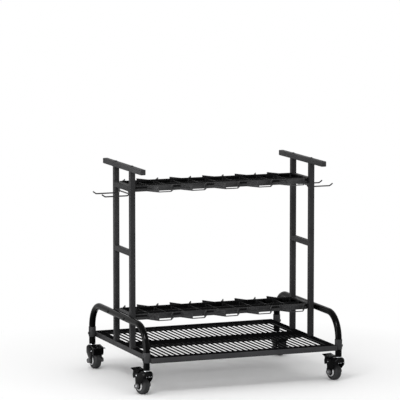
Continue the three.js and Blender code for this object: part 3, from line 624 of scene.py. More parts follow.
def makeSleeves():
    # corner sleeves with softened rims
    sizes, low, high = traySizes, traySizes["sleeveLow"], trayHigh[2]
    radius, bore, rim = sizes["sleeveRadius"], legRadius + sizes["sleeveFit"], sizes["sleeveRim"]
    soft = rim * sizes["sleeveSoft"]
    profile = [
        (bore, low + rim), (bore + rim, low), (radius - rim, low), (radius - soft, low + soft),
        (radius, low + rim), (radius, high - rim), (radius - soft, high - soft), (radius - rim, high),
        (bore + rim, high), (bore, high - rim),
    ]
    places = [Matrix.Translation((x, y, 0)) for x in (-legX, legX) for y in (-legY, legY)]
    sleeves = turned(profile, sizes["sleeveSides"], places)
    return sleeves.piece("cornerSleeves", coatedSteel, "frame", "coated_steel")


def makeStiffener():
    # an open channel with inturned lips under the deck's plain band
    low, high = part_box("tray_stiffener")
    half, drop, sheet = high[1], high[2] - low[2], traySizes["sheet"]
    lip, bend, tight = traySizes["channelLip"], traySizes["channelBend"], traySizes["channelEdge"]
    right = [
        ((half, 0), bend), ((half, -drop), bend), ((half - lip, -drop), tight),
        ((half - lip, sheet - drop), tight), ((half - sheet, sheet - drop), bend - sheet),
        ((half - sheet, -sheet), bend - sheet),
    ]
    left = [((-y, z), radius) for (y, z), radius in reversed(right)]
    section = outlinePoints(left[-1:] + right + left[:-1], 4)
    rings = [[Vector((x, point.x, high[2] + point.y)) for point in section] for x in (low[0], high[0])]
    channel = Shell().loft(rings)
    return channel.piece("trayStiffener", coatedSteel, "frame", "coated_steel", ["tray_stiffener"], 30)


makeDeckSheet()
makeFlange()
makeSleeves()
makeStiffener()
print("tray made")


# Arches: bent round tube, open at the feet

archSizes = {"bendRadius": 0.1, "wall": 0.002, "sides": 36, "bendSteps": 14}


def makeArch(side):
    x = legX if side == "right" else -legX
    foot, run = archLow[2], archHigh[2] - legRadius
    stations = tubeStations(
        [(x, -legY, foot), (x, -legY, run), (x, legY, run), (x, legY, foot)], [archSizes["bendRadius"]] * 2,
        archSizes["bendSteps"],
    )
    skin, bore = [
        sweepRings(stations, circlePoints(radius, archSizes["sides"]), (1, 0, 0))
        for radius in (legRadius, legRadius - archSizes["wall"])
    ]
    tube = Shell().loft(skin + bore[::-1], closed=True)
    return tube.piece(f"arch_{side}_tube", coatedTube, "frame", "coated_tube", [f"arch_{side}"])


for side in sides:
    makeArch(side)
print("arches made")


# Square tube: uprights, rungs and top bars, with softened ends and a weld line where one meets another

tubeSizes = {
    "corner": 0.003, "edge": 0.0004, "weldRadius": 0.0013, "weldPitch": 0.0021, "weldInset": 0.0012,
    "beadSpread": (0.8, 1.15),
}


def squareSection(size, corner):
    half = size / 2
    return roundedOutline(rectangle(-half, half, -half, half), corner, 5)


def makeSquareTube(node, axis, finish):
    low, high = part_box(node)
    length, edge, corner = high[axis] - low[axis], tubeSizes["edge"], tubeSizes["corner"]
    outer = squareSection(tubeSize, corner)
    outerEnd = squareSection(tubeSize - 2 * edge, corner - edge)
    inner = squareSection(tubeSize - 2 * tubeWall, corner - tubeWall)
    rings = [
        lifted(outerEnd, 0), lifted(outer, edge), lifted(outer, length - edge), lifted(outerEnd, length),
        lifted(inner, length), lifted(inner, 0),
    ]
    turn = Matrix.Rotation(-math.pi / 2, 4, "X") if axis == 1 else Matrix.Identity(4)
    start = nodeCentre(node)
    start[axis] = low[axis]
    tube = Shell().loft(rings, Matrix.Translation(start) @ turn, closed=True)
    return tube.piece(f"{node}_tube", finish, "frame", "coated_steel", [node])


def makeWeldTree():
    # small overlapping beads along the edges of a mesh, for the weld round a square tube
    tree, keys, source = newTree("weldBeads", [
        ("Geometry", "Geometry"), ("Bead Radius", "Float", 0.0013), ("Bead Pitch", "Float", 0.002),
        ("Finish", "Material"),
    ])
    given = source.outputs
    path = addNode(tree, "GeometryNodeMeshToCurve", {"Mesh": given["Geometry"]})
    spacing = {"Curve": path, "Length": given["Bead Pitch"]}
    places = addNode(tree, "GeometryNodeResampleCurve", spacing, mode="LENGTH")
    bead = addNode(tree, "GeometryNodeMeshIcoSphere", {"Radius": given["Bead Radius"], "Subdivisions": 2})
    size = addNode(tree, "FunctionNodeRandomValue", {"Seed": 5}, data_type="FLOAT")
    limits = [entry for entry in size.inputs if entry.type == "VALUE" and entry.name in ("Min", "Max")]
    for entry, value in zip(limits, tubeSizes["beadSpread"]):
        entry.default_value = value
    grown = [entry for entry in size.outputs if entry.type == "VALUE" and entry.enabled][0]
    closeTree(tree, source, addNode(tree, "GeometryNodeInstanceOnPoints", {
        "Points": places, "Instance": bead, "Scale": grown,
    }))
    return tree, keys


def makeWelds():
    # one bead line down each side of every rung end, inside the corner between tubes
    corner, inset, points = tubeSizes["corner"], tubeSizes["weldInset"], []
    for side in sides:
        for level in ("lower", "middle", "upper"):
            low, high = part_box(f"rung_{level}_{side}")
            for y in (low[1], high[1]):
                for x in (low[0] + inset, high[0] - inset):
                    points += [(x, y, low[2] + corner), (x, y, high[2] - corner)]
                for z in (low[2], high[2]):
                    points += [(low[0] + corner, y, z), (high[0] - corner, y, z)]
    mesh = bpy.data.meshes.new("weldLines")
    mesh.from_pydata(points, [(start, start + 1) for start in range(0, len(points), 2)], [])
    holder = linkObject("weldLines", mesh)
    runTree(holder, makeWeldTree(), {
        "Bead Radius": tubeSizes["weldRadius"], "Bead Pitch": tubeSizes["weldPitch"], "Finish": coatedSteel,
    })
    welds = linkObject("rungWelds", plainMesh(holder, "rungWelds"))
    return finishPiece(welds, coatedSteel, "frame", "coated_steel")


for corner in corners:
    makeSquareTube(f"upright_{corner}", 2, coatedPost)
for side in sides:
    for bar, finish in (
        ("rung_lower", coatedPost), ("rung_middle", coatedPost), ("rung_upper", coatedPost),
        ("top_bar", coatedSteel),
    ):
        makeSquareTube(f"{bar}_{side}", 1, finish)
makeWelds()
print("ladder ends made")


# End caps: a pressed-in plug with a softly crowned head

capSizes = {
    "head": 0.008, "edge": 0.003, "plugGap": 0.0004, "plugCorner": 0.0012, "lip": 0.0005, "lipInset": 0.0004,
    "lipCorner": 0.0028, "lipRise": 0.00005, "crown": 0.0003, "crownShare": 0.4,
}


def makeEndCap(corner):
    sizes, node = capSizes, f"end_cap_{corner}"
    low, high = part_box(node)
    centre = nodeCentre(node)
    outward = 1 if centre.y > 0 else -1
    face = high[1] if outward > 0 else low[1]
    head, edge, plug = sizes["head"], sizes["edge"], tubeSize - 2 * tubeWall - sizes["plugGap"]
    levels = [
        (plug, sizes["plugCorner"], head + low[1] - high[1]), (plug, sizes["plugCorner"], 0),
        (tubeSize - 2 * sizes["lipInset"], sizes["lipCorner"], sizes["lipRise"]),
        (tubeSize, edge, sizes["lip"]), (tubeSize, edge, head - edge),
    ]
    for sine, cosine in quarterRound(6, 1):
        height = head - edge * (1 - sine) - sizes["crown"]
        levels.append((tubeSize - 2 * edge * (1 - cosine), edge, height))
    levels.append((tubeSize * sizes["crownShare"], edge, head))
    rings = [lifted(squareSection(size, radius), height) for size, radius, height in levels]
    seat = Matrix.Translation((centre.x, face - outward * head, centre.z))
    cap = Shell().loft(rings, seat @ Matrix.Rotation(-math.pi / 2 * outward, 4, "X"))
    return cap.piece(f"{node}_moulding", capPlastic, "frame", "cap_plastic", [node])


for corner in corners:
    makeEndCap(corner)
print("end caps made")


# Grids: moulded walls with a groove under the lip, lattice inside, open pockets on both long sides

gridSizes = {
    "depth": 0.180, "wall": 0.003, "lowerBand": 0.012, "grooveBand": 0.008, "lip": 0.004, "groove": 0.0014,
    "corner": 0.007, "latticeHeight": 0.018, "rib": 0.0024, "columns": 10, "rows": 2, "cellCorner": 0.006,
    "pocketCount": 5, "pocketPitch": 0.145, "pocketShift": 0.021, "pocketBase": 0.115, "pocketFront": 0.055,
    "pocketDepth": 0.054, "nose": 0.006, "mouth": 0.0009, "root": 0.003, "innerRoot": 0.001, "bar": 0.004,
    "edge": 0.0007, "ribEdge": 0.0005, "ribSeat": 0.6, "pegLength": 0.0045, "wallReach": 0.001,
    "wallLean": 0.3,
}


def pocketHalf(out, inset):
    lean = (gridSizes["pocketBase"] - gridSizes["pocketFront"]) / 2 / gridSizes["pocketDepth"]
    return gridSizes["pocketBase"] / 2 - lean * out - inset * math.hypot(1, lean)


def pocketCentres():
    middle = (gridSizes["pocketCount"] - 1) / 2
    shifts = [(index - middle) * gridSizes["pocketPitch"] for index in range(gridSizes["pocketCount"])]
    return [gridSizes["pocketShift"] + shift for shift in shifts]


def longSide(halfLength, inset, opened):
    # corners of the front wall line with its pockets; opened pockets have no nose wall
    sizes, wall, depth = gridSizes, gridSizes["wall"], gridSizes["pocketDepth"]
    front, mouth = -sizes["depth"] / 2, sizes["mouth"]
    wallY, noseY = front + inset, front + inset - depth
    half = [
        (pocketHalf(-inset, inset), wallY, sizes["root"]),
        (pocketHalf(depth - inset, inset), noseY, mouth if opened else sizes["nose"] - inset),
    ]
    if opened:
        half += [(pocketHalf(depth, wall), noseY, mouth), (pocketHalf(0, wall), front, sizes["innerRoot"])]
    places = [((inset - halfLength, wallY), sizes["corner"] - inset)]
    for centre in pocketCentres():
        places += [((centre - x, y), radius) for x, y, radius in half]
        places += [((centre + x, y), radius) for x, y, radius in reversed(half)]
    return places + [((halfLength - inset, wallY), sizes["corner"] - inset)]


def gridOutline(halfLength, inset, opened):
    front = longSide(halfLength, inset, opened)
    return outlinePoints(front + [((-x, -y), radius) for (x, y), radius in front], 4)


def pocketHoles():
    wall, depth, half = gridSizes["wall"], gridSizes["pocketDepth"], gridSizes["depth"] / 2
    root, tip, nose = pocketHalf(0, wall), pocketHalf(depth - wall, wall), wall - half - depth
    inner, outer = gridSizes["innerRoot"], gridSizes["root"]
    holes = []
    for centre in pocketCentres():
        hole = outlinePoints([
            ((centre - root, -half), inner), ((centre - tip, nose), outer), ((centre + tip, nose), outer),
            ((centre + root, -half), inner),
        ], 4)
        holes += [hole, [-place for place in hole]]
    return holes


def cellOutlines(halfLength):
    wall, rib, columns, rows = [gridSizes[name] for name in ("wall", "rib", "columns", "rows")]
    pitchX = (2 * halfLength - 2 * wall + rib) / columns
    pitchY = (gridSizes["depth"] - 2 * wall + rib) / rows
    halfX, halfY = (pitchX - rib) / 2, (pitchY - rib) / 2
    outlines = []
    for column in range(columns):
        for row in range(rows):
            x, y = (column - (columns - 1) / 2) * pitchX, (row - (rows - 1) / 2) * pitchY
            cell = rectangle(x - halfX, x + halfX, y - halfY, y + halfY)
            outlines.append(roundedOutline(cell, gridSizes["cellCorner"], 5))
    return outlines


def markOuterWalls(mesh, middle, halfLength):
    # face attribute for the painted shade: 1 on the outer walls, 0 in the pockets, in the groove and on the
    # lattice, which the finish paints darker as shade
    near, lean = gridSizes["wallReach"], gridSizes["wallLean"]
    limits = (halfLength - near, gridSizes["depth"] / 2 - near)
    values = []
    for face in mesh.polygons:
        place = face.center - middle
        outer = [
            abs(place[axis]) > limits[axis] and face.normal[axis] * place[axis] > lean * abs(place[axis])
            for axis in (0, 1)
        ]
        values.append(float(any(outer)))
    mesh.attributes.new("outerWall", "FLOAT", "FACE").data.foreach_set("value", values)


def makeGrid(node):
    sizes, wall, edge, bar = gridSizes, gridSizes["wall"], gridSizes["edge"], gridSizes["bar"]
    low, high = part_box(node)
    halfLength, halfDepth = high[0] - sizes["pegLength"], sizes["depth"] / 2
    inner = rectangle(wall - halfLength, halfLength - wall, wall - halfDepth, halfDepth - wall)
    inside = roundedOutline(inner, sizes["corner"] - wall, 5)
    belt = sizes["lowerBand"]
    lip = belt + sizes["grooveBand"]
    shell = Shell()
    for start, end, inset, opened in (
        (0, bar, 0, False), (bar - 2 * edge, belt, 0, True),
        (belt - 2 * edge, lip + 2 * edge, sizes["groove"], True), (lip, lip + sizes["lip"], 0, True),
    ):
        holes = [inside] if opened else [inside, *pocketHoles()]
        band = plate([gridOutline(halfLength, inset, opened), *holes], end - start, edge)
        shell.addMesh(band, Matrix.Translation((0, 0, low[2] + start)))
    seat = wall * sizes["ribSeat"]
    field = rectangle(seat - halfLength, halfLength - seat, seat - halfDepth, halfDepth - seat)
    lattice = plate([field, *cellOutlines(halfLength)], sizes["latticeHeight"], sizes["ribEdge"])
    shell.addMesh(lattice, Matrix.Translation((0, 0, low[2])))
    obj = shell.build(f"{node}_moulding")
    markOuterWalls(obj.data, nodeCentre(node), halfLength)
    return finishPiece(obj, gridPlastic, "frame", "grid_plastic", [node], smoothAngle=40)


for node in ("lower_grid", "upper_grid"):
    makeGrid(node)
print("grids made")


# Hook frames: bent wire with rounded tips, welded cross wire

hookSizes = {
    "radius": 0.00275, "bend": 0.008, "tipBend": 0.009, "tipReach": 0.014, "tipRise": 0.010,
    "tipShare": 0.02, "cross": 0.012, "drop": 0.020, "sink": 0.003, "sides": 20,
}


def makeHook(side):
    sizes, node = hookSizes, f"hook_{side}"
    low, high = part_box(node)
    sign, radius = 1 if side == "right" else -1, sizes["radius"]
    inner = sign * (uprightHigh[0] - tubeSize / 2)
    prongY, rungLow = high[1] - radius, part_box(f"rung_upper_{side}")[0][2]
    prongZ, crossZ = rungLow - sizes["drop"], rungLow - sizes["cross"]
    reach = abs(high[0] if sign > 0 else low[0])
    tipX = reach - radius * math.sin(math.atan2(sizes["tipRise"], sizes["tipReach"]))
    section = circlePoints(radius, sizes["sides"])
    shell = Shell()
    for y in (-prongY, prongY):
        stations = tubeStations([
            (inner, y, rungLow + sizes["sink"]), (inner, y, prongZ),
            (sign * (tipX - sizes["tipReach"]), y, prongZ), (sign * tipX, y, prongZ + sizes["tipRise"]),
        ], [sizes["bend"], sizes["tipBend"]], 7)
        rings = sweepRings(stations[:-1], section, (0, 1, 0))
        place, heading = stations[-1]
        for sine, cosine in quarterRound(5):
            ring = [point * max(cosine, sizes["tipShare"]) for point in section]
            rings += sweepRings([(place + heading * radius * (sine - 1), heading)], ring, (0, 1, 0))
        shell.loft(rings)
    ends = [(Vector((inner, y, crossZ)), Vector((0, 1, 0))) for y in (-prongY, prongY)]
    shell.loft(sweepRings(ends, section, (1, 0, 0)))
    return shell.piece(f"{node}_wire", hookCoat, "frame", "hook_wire", [node])


for side in sides:
    makeHook(side)
print("hooks made")


# Domed bolts: one head, set on every bolt's place by a geometry tree

boltSizes = {
    "headRadius": 0.0062, "headHeight": 0.0034, "socket": 0.0021, "socketDepth": 0.0016, "rim": 0.0005,
    "dome": 0.8, "mouth": 0.0002, "mouthShare": 1.12, "drillTip": 0.0003, "drillShare": 0.02, "sides": 24,
}


def makeBoltHead():
    # a domed head with a six-sided recess, its underside at z = 0
    sizes, radius, height = boltSizes, boltSizes["headRadius"], boltSizes["headHeight"]
    rim, floor = sizes["rim"], height - sizes["socketDepth"]
    profile = [(0.0, 0.0), (radius - rim, 0.0), (radius, rim)]
    for sine, cosine in quarterRound(7, 1)[:-1]:
        profile.append((radius * cosine ** sizes["dome"], rim + (height - rim) * sine))
    rings = [circlePoints(reach, sizes["sides"], z) for reach, z in profile]
    flats = []
    for index in range(sizes["sides"]):
        turn = 2 * math.pi * index / sizes["sides"]
        reach = sizes["socket"] / math.cos((turn + math.pi / 6) % (math.pi / 3) - math.pi / 6)
        flats.append((reach * math.cos(turn), reach * math.sin(turn)))
    for share, z in (
        (sizes["mouthShare"], height), (1.0, height - sizes["mouth"]), (1.0, floor),
        (sizes["drillShare"], floor - sizes["drillTip"]),
    ):
        rings.append([Vector((x * share, y * share, z)) for x, y in flats])
    return Shell().loft(rings).build("boltHeadSource")


def makeBoltTree():
    entries = [("Geometry", "Geometry"), ("Head", "Object"), ("Finish", "Material")]
    tree, keys, source = newTree("boltHeads", entries)
    given = source.outputs
    facing = addNode(tree, "GeometryNodeInputNamedAttribute", {"Name": "facing"}, data_type="FLOAT_VECTOR")
    vector = [entry for entry in facing.outputs if entry.type == "VECTOR"][0]
    closeTree(tree, source, addNode(tree, "GeometryNodeInstanceOnPoints", {
        "Points": given["Geometry"],
        "Instance": addNode(tree, "GeometryNodeObjectInfo", {"Object": given["Head"]}).outputs["Geometry"],
        "Rotation": addNode(tree, "FunctionNodeAlignRotationToVector", {"Vector": vector}, axis="Z"),
    }))
    return tree, keys


def makeBolts():
    # bolts face outwards from the arches and sleeves, and up from the top bars
    names = [f"bolt_{kind}_{corner}" for corner in corners for kind in ("arch", "sleeve", "top")]
    places, facings = [], []
    for name in names:
        low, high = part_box(name)
        outward = 1 if name.endswith("right") else -1
        facing = Vector((0, 0, 1) if name.startswith("bolt_top") else (outward, 0, 0))
        reach = abs((Vector(high) - Vector(low)).dot(facing)) / 2 - boltSizes["headHeight"]
        places.append(nodeCentre(name) + facing * reach)
        facings += list(facing)
    mesh = bpy.data.meshes.new("boltPlaces")
    mesh.from_pydata(places, [], [])
    mesh.attributes.new("facing", "FLOAT_VECTOR", "POINT").data.foreach_set("vector", facings)
    holder = linkObject("boltPlaces", mesh)
    head = makeBoltHead()
    runTree(holder, makeBoltTree(), {"Head": head, "Finish": boltSteel})
    bolts = linkObject("domedBolts", plainMesh(holder, "domedBolts"))
    bpy.data.objects.remove(head)
    return finishPiece(bolts, boltSteel, "frame", "dark_bolt", names, smoothAngle=40)


makeBolts()
print("bolts made")


# Casters, each in its own frame: swivel axis up, +X towards the trailing wheel

casterSizes = {
    "height": 0.100, "trail": 0.028, "wheelRadius": 0.0345, "axleZ": 0.0345, "forkWidth": 0.048,
    "cheek": 0.003, "play": 0.0003,
}
casterTop, trail, axleZ = casterSizes["height"], casterSizes["trail"], casterSizes["axleZ"]
forkHalf = casterSizes["forkWidth"] / 2
forkInside = forkHalf - casterSizes["cheek"]
wheelPlace = Matrix.Translation((trail, 0, axleZ))
axlePlace = wheelPlace @ Matrix.Rotation(-math.pi / 2, 4, "X")
sideTurn = Matrix.Rotation(math.pi / 2, 4, "X")
frontTurn = Matrix(((0, 0, 1, 0), (1, 0, 0, 0), (0, 1, 0, 0), (0, 0, 0, 1)))


def casterPlace(corner):
    swivel = Vector(joints[f"swivel_turn_{corner}"]["pos_m"])
    wheel = Vector(joints[f"wheel_spin_{corner}"]["pos_m"])
    turn = math.atan2(wheel.y - swivel.y, wheel.x - swivel.x)
    return Matrix.Translation((swivel.x, swivel.y, 0)) @ Matrix.Rotation(turn, 4, "Z")


def outwardTurn(sign):
    # turns +Z to the caster's +Y or -Y side
    return Matrix.Rotation(-sign * math.pi / 2, 4, "X")


def mirrored(profile):
    # a (radius, height) profile and its reflection below the middle
    return profile + [(radius, -height) for radius, height in reversed(profile)]


def prismMesh(outline, start, end, turn=None):
    return Shell().loft([lifted(outline, start), lifted(outline, end)], turn).mesh("prism")


def carved(body, keeps, cuts, edge):
    # a prism trimmed by others, its edges then softened
    obj = linkObject("carving", body)
    tools = []
    for operation, shapes in (("INTERSECT", keeps), ("DIFFERENCE", cuts)):
        for shape in shapes:
            tools.append(linkObject("carvingTool", shape))
            modifier = obj.modifiers.new(operation, "BOOLEAN")
            modifier.operation = operation
            modifier.object = tools[-1]
    softenEdges(obj, edge, 38)
    mesh = plainMesh(obj, "carved")
    for tool in tools:
        shape = tool.data
        bpy.data.objects.remove(tool)
        bpy.data.meshes.remove(shape)
    return mesh


def casterPiece(shell, part, corner, detail, finish, body, slot, smoothAngle=35, extra=False):
    # one caster's piece, in place of its node unless it's an extra beside that
    node = f"caster_{part}_{corner}"
    nodes = () if extra else [node]
    return shell.piece(f"{node}_{detail}", finish, f"{body}_{corner}", slot, nodes, smoothAngle)


# Fork: a hood over the wheel, two cheeks down to the axle, a shallow panel on its nose

forkSizes = {
    "top": 0.0967, "crown": 0.075, "nose": 0.017, "noseHeight": 0.024, "noseRadius": 0.004, "corner": 0.006,
    "kneeStep": 0.003, "kneeRise": 0.0085, "boss": 0.012, "tail": 0.046, "tailDrop": 0.009,
    "tailHeight": 0.016, "hoodTail": 0.018, "shoulder": 0.014, "plan": 0.011, "leastPlan": 0.001,
    "tailCorner": 0.0005, "slot": 0.005, "edge": 0.0004, "over": 0.002, "panelHalf": 0.0105,
    "panelLow": 0.0795, "panelHigh": 0.0895, "panelDepth": 0.0009, "panelCorner": 0.0025,
    "ringInner": 0.0103, "ringOuter": 0.0119, "ringHeight": 0.0009, "ringSink": 0.001, "ringSides": 36,
}


def forkSide():
    sizes, corner, boss = forkSizes, forkSizes["corner"], forkSizes["boss"]
    top, nose, tail, hoodTail = sizes["top"], -sizes["nose"], sizes["tail"], sizes["hoodTail"]
    tailTop = top - sizes["tailDrop"]
    return outlinePoints([
        ((nose, top), sizes["noseRadius"]), ((nose, top - sizes["noseHeight"]), corner),
        ((trail - boss - sizes["kneeStep"], axleZ + sizes["kneeRise"]), corner),
        ((trail - boss, axleZ - boss), boss), ((trail + boss, axleZ - boss), boss),
        ((tail, tailTop - sizes["tailHeight"]), corner), ((tail, tailTop), corner), ((hoodTail, tailTop), 0),
        ((hoodTail, top), 0),
    ])


def hoodBlank():
    # the fork's plan, drawn in towards the top by one round that runs over nose and shoulders
    sizes, shoulder, tight = forkSizes, forkSizes["shoulder"], forkSizes["tailCorner"]
    base = sizes["top"] - shoulder
    levels = [(0.0, 0.0), (0.0, base)]
    levels += [(shoulder * (1 - cosine), base + shoulder * sine) for sine, cosine in quarterRound(10, 1)]
    rings = []
    for inset, height in levels:
        radius, side = max(sizes["plan"] - inset, sizes["leastPlan"]), forkHalf - inset
        plan = rectangle(inset - sizes["nose"], sizes["tail"] + sizes["over"], -side, side)
        rings.append(lifted(roundedOutline(plan, [radius, tight, tight, radius], 7), height))
    return Shell().loft(rings).mesh("hoodBlank")


def makeFork(corner):
    sizes, place = forkSizes, casterPlace(corner)
    over, crown, slot = sizes["over"], sizes["crown"], sizes["slot"]
    front, back = -sizes["nose"] - over, sizes["tail"] + 2 * over
    rear = rectangle(sizes["hoodTail"], back, -forkInside, forkInside)
    well = outlinePoints([
        ((-forkInside, -over), 0), ((forkInside, -over), 0), ((forkInside, crown), slot),
        ((-forkInside, crown), slot),
    ])
    face = rectangle(-sizes["panelHalf"], sizes["panelHalf"], sizes["panelLow"], sizes["panelHigh"])
    panel = roundedOutline(face, sizes["panelCorner"], 5)
    cuts = [
        prismMesh(well, front, back, frontTurn), prismMesh(rear, -over, sizes["top"] + over),
        prismMesh(panel, front, sizes["panelDepth"] - sizes["nose"], frontTurn),
    ]
    blank = prismMesh(forkSide(), -forkHalf - over, forkHalf + over, sideTurn)
    shell = Shell().addMesh(carved(blank, [hoodBlank()], cuts, sizes["edge"]), place)
    inner, outer = sizes["ringInner"], sizes["ringOuter"]
    height, sink = sizes["ringHeight"], sizes["ringSink"]
    ring = [
        (inner, -sink), (inner, height - 0.0003), (inner + 0.0003, height), (outer - 0.0004, height),
        (outer, height - 0.0004), (outer, -sink),
    ]
    for sign in (-1, 1):
        seat = Matrix.Translation((trail, sign * forkHalf, axleZ))
        shell.lathe(ring, sizes["ringSides"], place @ seat @ outwardTurn(sign), closed=True)
    return casterPiece(shell, "fork", corner, "hood", casterPlastic, "swivel", "caster_plastic", 32)


rivetSizes = {"radius": 0.0014, "height": 0.0006, "sink": 0.0002, "row": 0.012, "rise": 0.0754, "sides": 16}


def makeForkRivets(corner):
    # three small rivet heads along the nose's lower lip
    sizes, radius, height = rivetSizes, rivetSizes["radius"], rivetSizes["height"]
    dome = [
        (0.0, height), (radius * 0.5, height * 0.85), (radius * 0.86, height * 0.45),
        (radius, -sizes["sink"]),
    ]
    turn = Matrix.Rotation(-math.pi / 2, 4, "Y")
    seats = [
        casterPlace(corner) @ Matrix.Translation((-forkSizes["nose"], y, sizes["rise"])) @ turn
        for y in (-sizes["row"], 0, sizes["row"])
    ]
    rivets = turned(dome, sizes["sides"], seats, closed=False)
    return rivets.piece(f"caster_rivets_{corner}", zincSteel, f"swivel_{corner}", "zinc_steel")


# Stem: plug up the leg, bearing collar with a race line, swivel pin and its riveted foot

stemSizes = {
    "collarRadius": 0.0115, "collarHeight": 0.003, "plugRadius": 0.0112, "plugTaper": 0.002,
    "footFace": 0.0075, "footRadius": 0.009, "footEdge": 0.0008, "footHeight": 0.0025, "pinRadius": 0.005,
    "race": 0.0005, "collarEdge": 0.0004, "lip": 0.0003, "sides": 40,
}


def makeStem(corner):
    sizes, node, top, lip = stemSizes, f"caster_stem_{corner}", casterTop, stemSizes["lip"]
    low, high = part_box(node)
    centre, foot, tip, taper = nodeCentre(node), low[2], high[2], sizes["plugTaper"]
    collar, radius, edge = top - sizes["collarHeight"], sizes["collarRadius"], sizes["collarEdge"]
    plug, pin, waist = sizes["plugRadius"], sizes["pinRadius"], radius - sizes["race"]
    profile = [
        (0.0, foot), (sizes["footFace"], foot), (sizes["footRadius"], foot + sizes["footEdge"]),
        (sizes["footRadius"], foot + sizes["footHeight"]), (pin, foot + sizes["footHeight"]), (pin, collar),
        (radius - edge, collar), (radius, collar + edge), (radius, top - 6 * lip), (waist, top - 0.0016),
        (waist, top - 4 * lip), (radius, top - 0.0010), (radius, top - lip), (radius - lip, top),
        (plug, top), (plug, tip - taper), (plug - taper, tip), (0.0, tip),
    ]
    place = Matrix.Translation((centre.x, centre.y, 0))
    stem = turned(profile, sizes["sides"], [place], closed=False)
    return stem.piece(f"{node}_pin", zincSteel, "frame", "zinc_steel", [node])


# Tyre: rounded shoulders, and a groove on each side of the tread

tyreSizes = {
    "width": 0.030, "bore": 0.0171, "shoulder": 0.008, "flank": 0.005, "bead": 0.0015, "groove": 0.0042,
    "grooveHalf": 0.0005, "grooveFloor": 0.6, "grooveDepth": 0.0005, "crown": 0.0004, "sides": 64,
}


def makeTyre(corner):
    sizes, radius = tyreSizes, casterSizes["wheelRadius"]
    half, bore, shoulder = sizes["width"] / 2, sizes["bore"], sizes["shoulder"]
    bead, middle, reach = half - sizes["bead"], sizes["groove"], sizes["grooveHalf"]
    floor, narrow = radius - sizes["grooveDepth"], reach * sizes["grooveFloor"]
    outer = [(bore, bead - 0.0003), (bore + 0.0004, bead), (bore + sizes["flank"], half - 0.0001)]
    for sine, cosine in quarterRound(8):
        outer.append((radius - shoulder + shoulder * sine, half - shoulder + shoulder * cosine))
    outer += [
        (radius, middle + reach), (floor, middle + narrow), (floor, middle - narrow),
        (radius, middle - reach), (radius, sizes["crown"]),
    ]
    tyre = turned(mirrored(outer), sizes["sides"], [casterPlace(corner) @ axlePlace])
    return casterPiece(tyre, "tyre", corner, "tread", tyreRubber, "wheel", "tyre_rubber", 50)


# Wheel core: dark rim, dished web with ribs, hub, and a pale ring on each side

coreSizes = {
    "bore": 0.0041, "hub": 0.0087, "hubEdge": 0.0005, "web": 0.0080, "webFillet": 0.0008, "overlap": 0.0002,
    "rimInner": 0.0146, "rimOuter": 0.0169, "rimHalf": 0.0165, "ribs": 8, "ribWidth": 0.0014,
    "ribTop": 0.0142, "ringInner": 0.0150, "ringOuter": 0.0183, "ringThickness": 0.0050, "ringGap": 0.0008,
    "ringEdge": 0.0005, "rimEdge": 0.0005, "ribCorner": 0.0003, "ribEdge": 0.0002, "sides": 56,
    "ringSides": 48,
}


def makeRim(corner):
    inner, outer, end, edge = [coreSizes[name] for name in ("rimInner", "rimOuter", "rimHalf", "rimEdge")]
    lip = edge + 0.0001
    oneSide = [(inner, end - edge), (inner + edge, end), (outer - lip, end), (outer, end - lip)]
    place = casterPlace(corner) @ axlePlace
    rim = turned([(inner, 0.0), *mirrored(oneSide)], coreSizes["sides"], [place])
    return casterPiece(rim, "core", corner, "rim", wheelPlastic, "wheel", "caster_plastic")


def makeWeb(corner):
    sizes, place = coreSizes, casterPlace(corner) @ axlePlace
    hubEnd, edge = forkInside - casterSizes["play"], sizes["hubEdge"]
    over, fillet = sizes["overlap"], sizes["webFillet"]
    hub, web, reach = sizes["hub"], sizes["web"], sizes["rimInner"] + over
    profile = mirrored([
        (sizes["bore"], hubEnd), (hub - edge, hubEnd), (hub, hubEnd - edge), (hub, web + fillet),
        (hub + fillet, web), (reach, web),
    ])
    shell = turned(profile, sizes["sides"], [place])
    half = sizes["ribWidth"] / 2
    ribOutline = roundedOutline(rectangle(hub - 2 * over, reach, -half, half), sizes["ribCorner"], 2)
    for sign in (-1, 1):
        start = min(sign * (web - over), sign * sizes["ribTop"])
        for index in range(sizes["ribs"]):
            turn = Matrix.Rotation(2 * math.pi * index / sizes["ribs"], 4, "Z")
            rib = plate([ribOutline], sizes["ribTop"] - web + over, sizes["ribEdge"])
            shell.addMesh(rib, place @ turn @ Matrix.Translation((0, 0, start)))
    return casterPiece(shell, "core", corner, "web", wheelPlastic, "wheel", "caster_plastic", extra=True)


def makeRimRings(corner):
    inner, outer, edge = coreSizes["ringInner"], coreSizes["ringOuter"], coreSizes["ringEdge"]
    end = forkInside - coreSizes["ringGap"]
    start = end - coreSizes["ringThickness"]
    profile = [
        (inner, start), (outer - edge, start), (outer, start + edge), (outer, end - edge),
        (outer - edge, end), (inner, end),
    ]
    places = [casterPlace(corner) @ wheelPlace @ outwardTurn(sign) for sign in (-1, 1)]
    rings = turned(profile, coreSizes["ringSides"], places)
    return casterPiece(rings, "core", corner, "rings", corePlastic, "wheel", "core_plastic", extra=True)


# Axle: a dark cup over the nut on each side, with the bright nut and axle end inside it

axleSizes = {
    "radius": 0.004, "gap": 0.0001, "cupRadius": 0.010, "cupBore": 0.0042, "cupHeight": 0.011,
    "recessRadius": 0.0066, "recessDepth": 0.004, "endRadius": 0.0032, "endHeight": 0.002,
    "nutReach": 0.0058, "nutHeight": 0.0012, "nutCorner": 0.0006, "nutEdge": 0.0003, "cupSides": 40,
    "pinSides": 24,
}


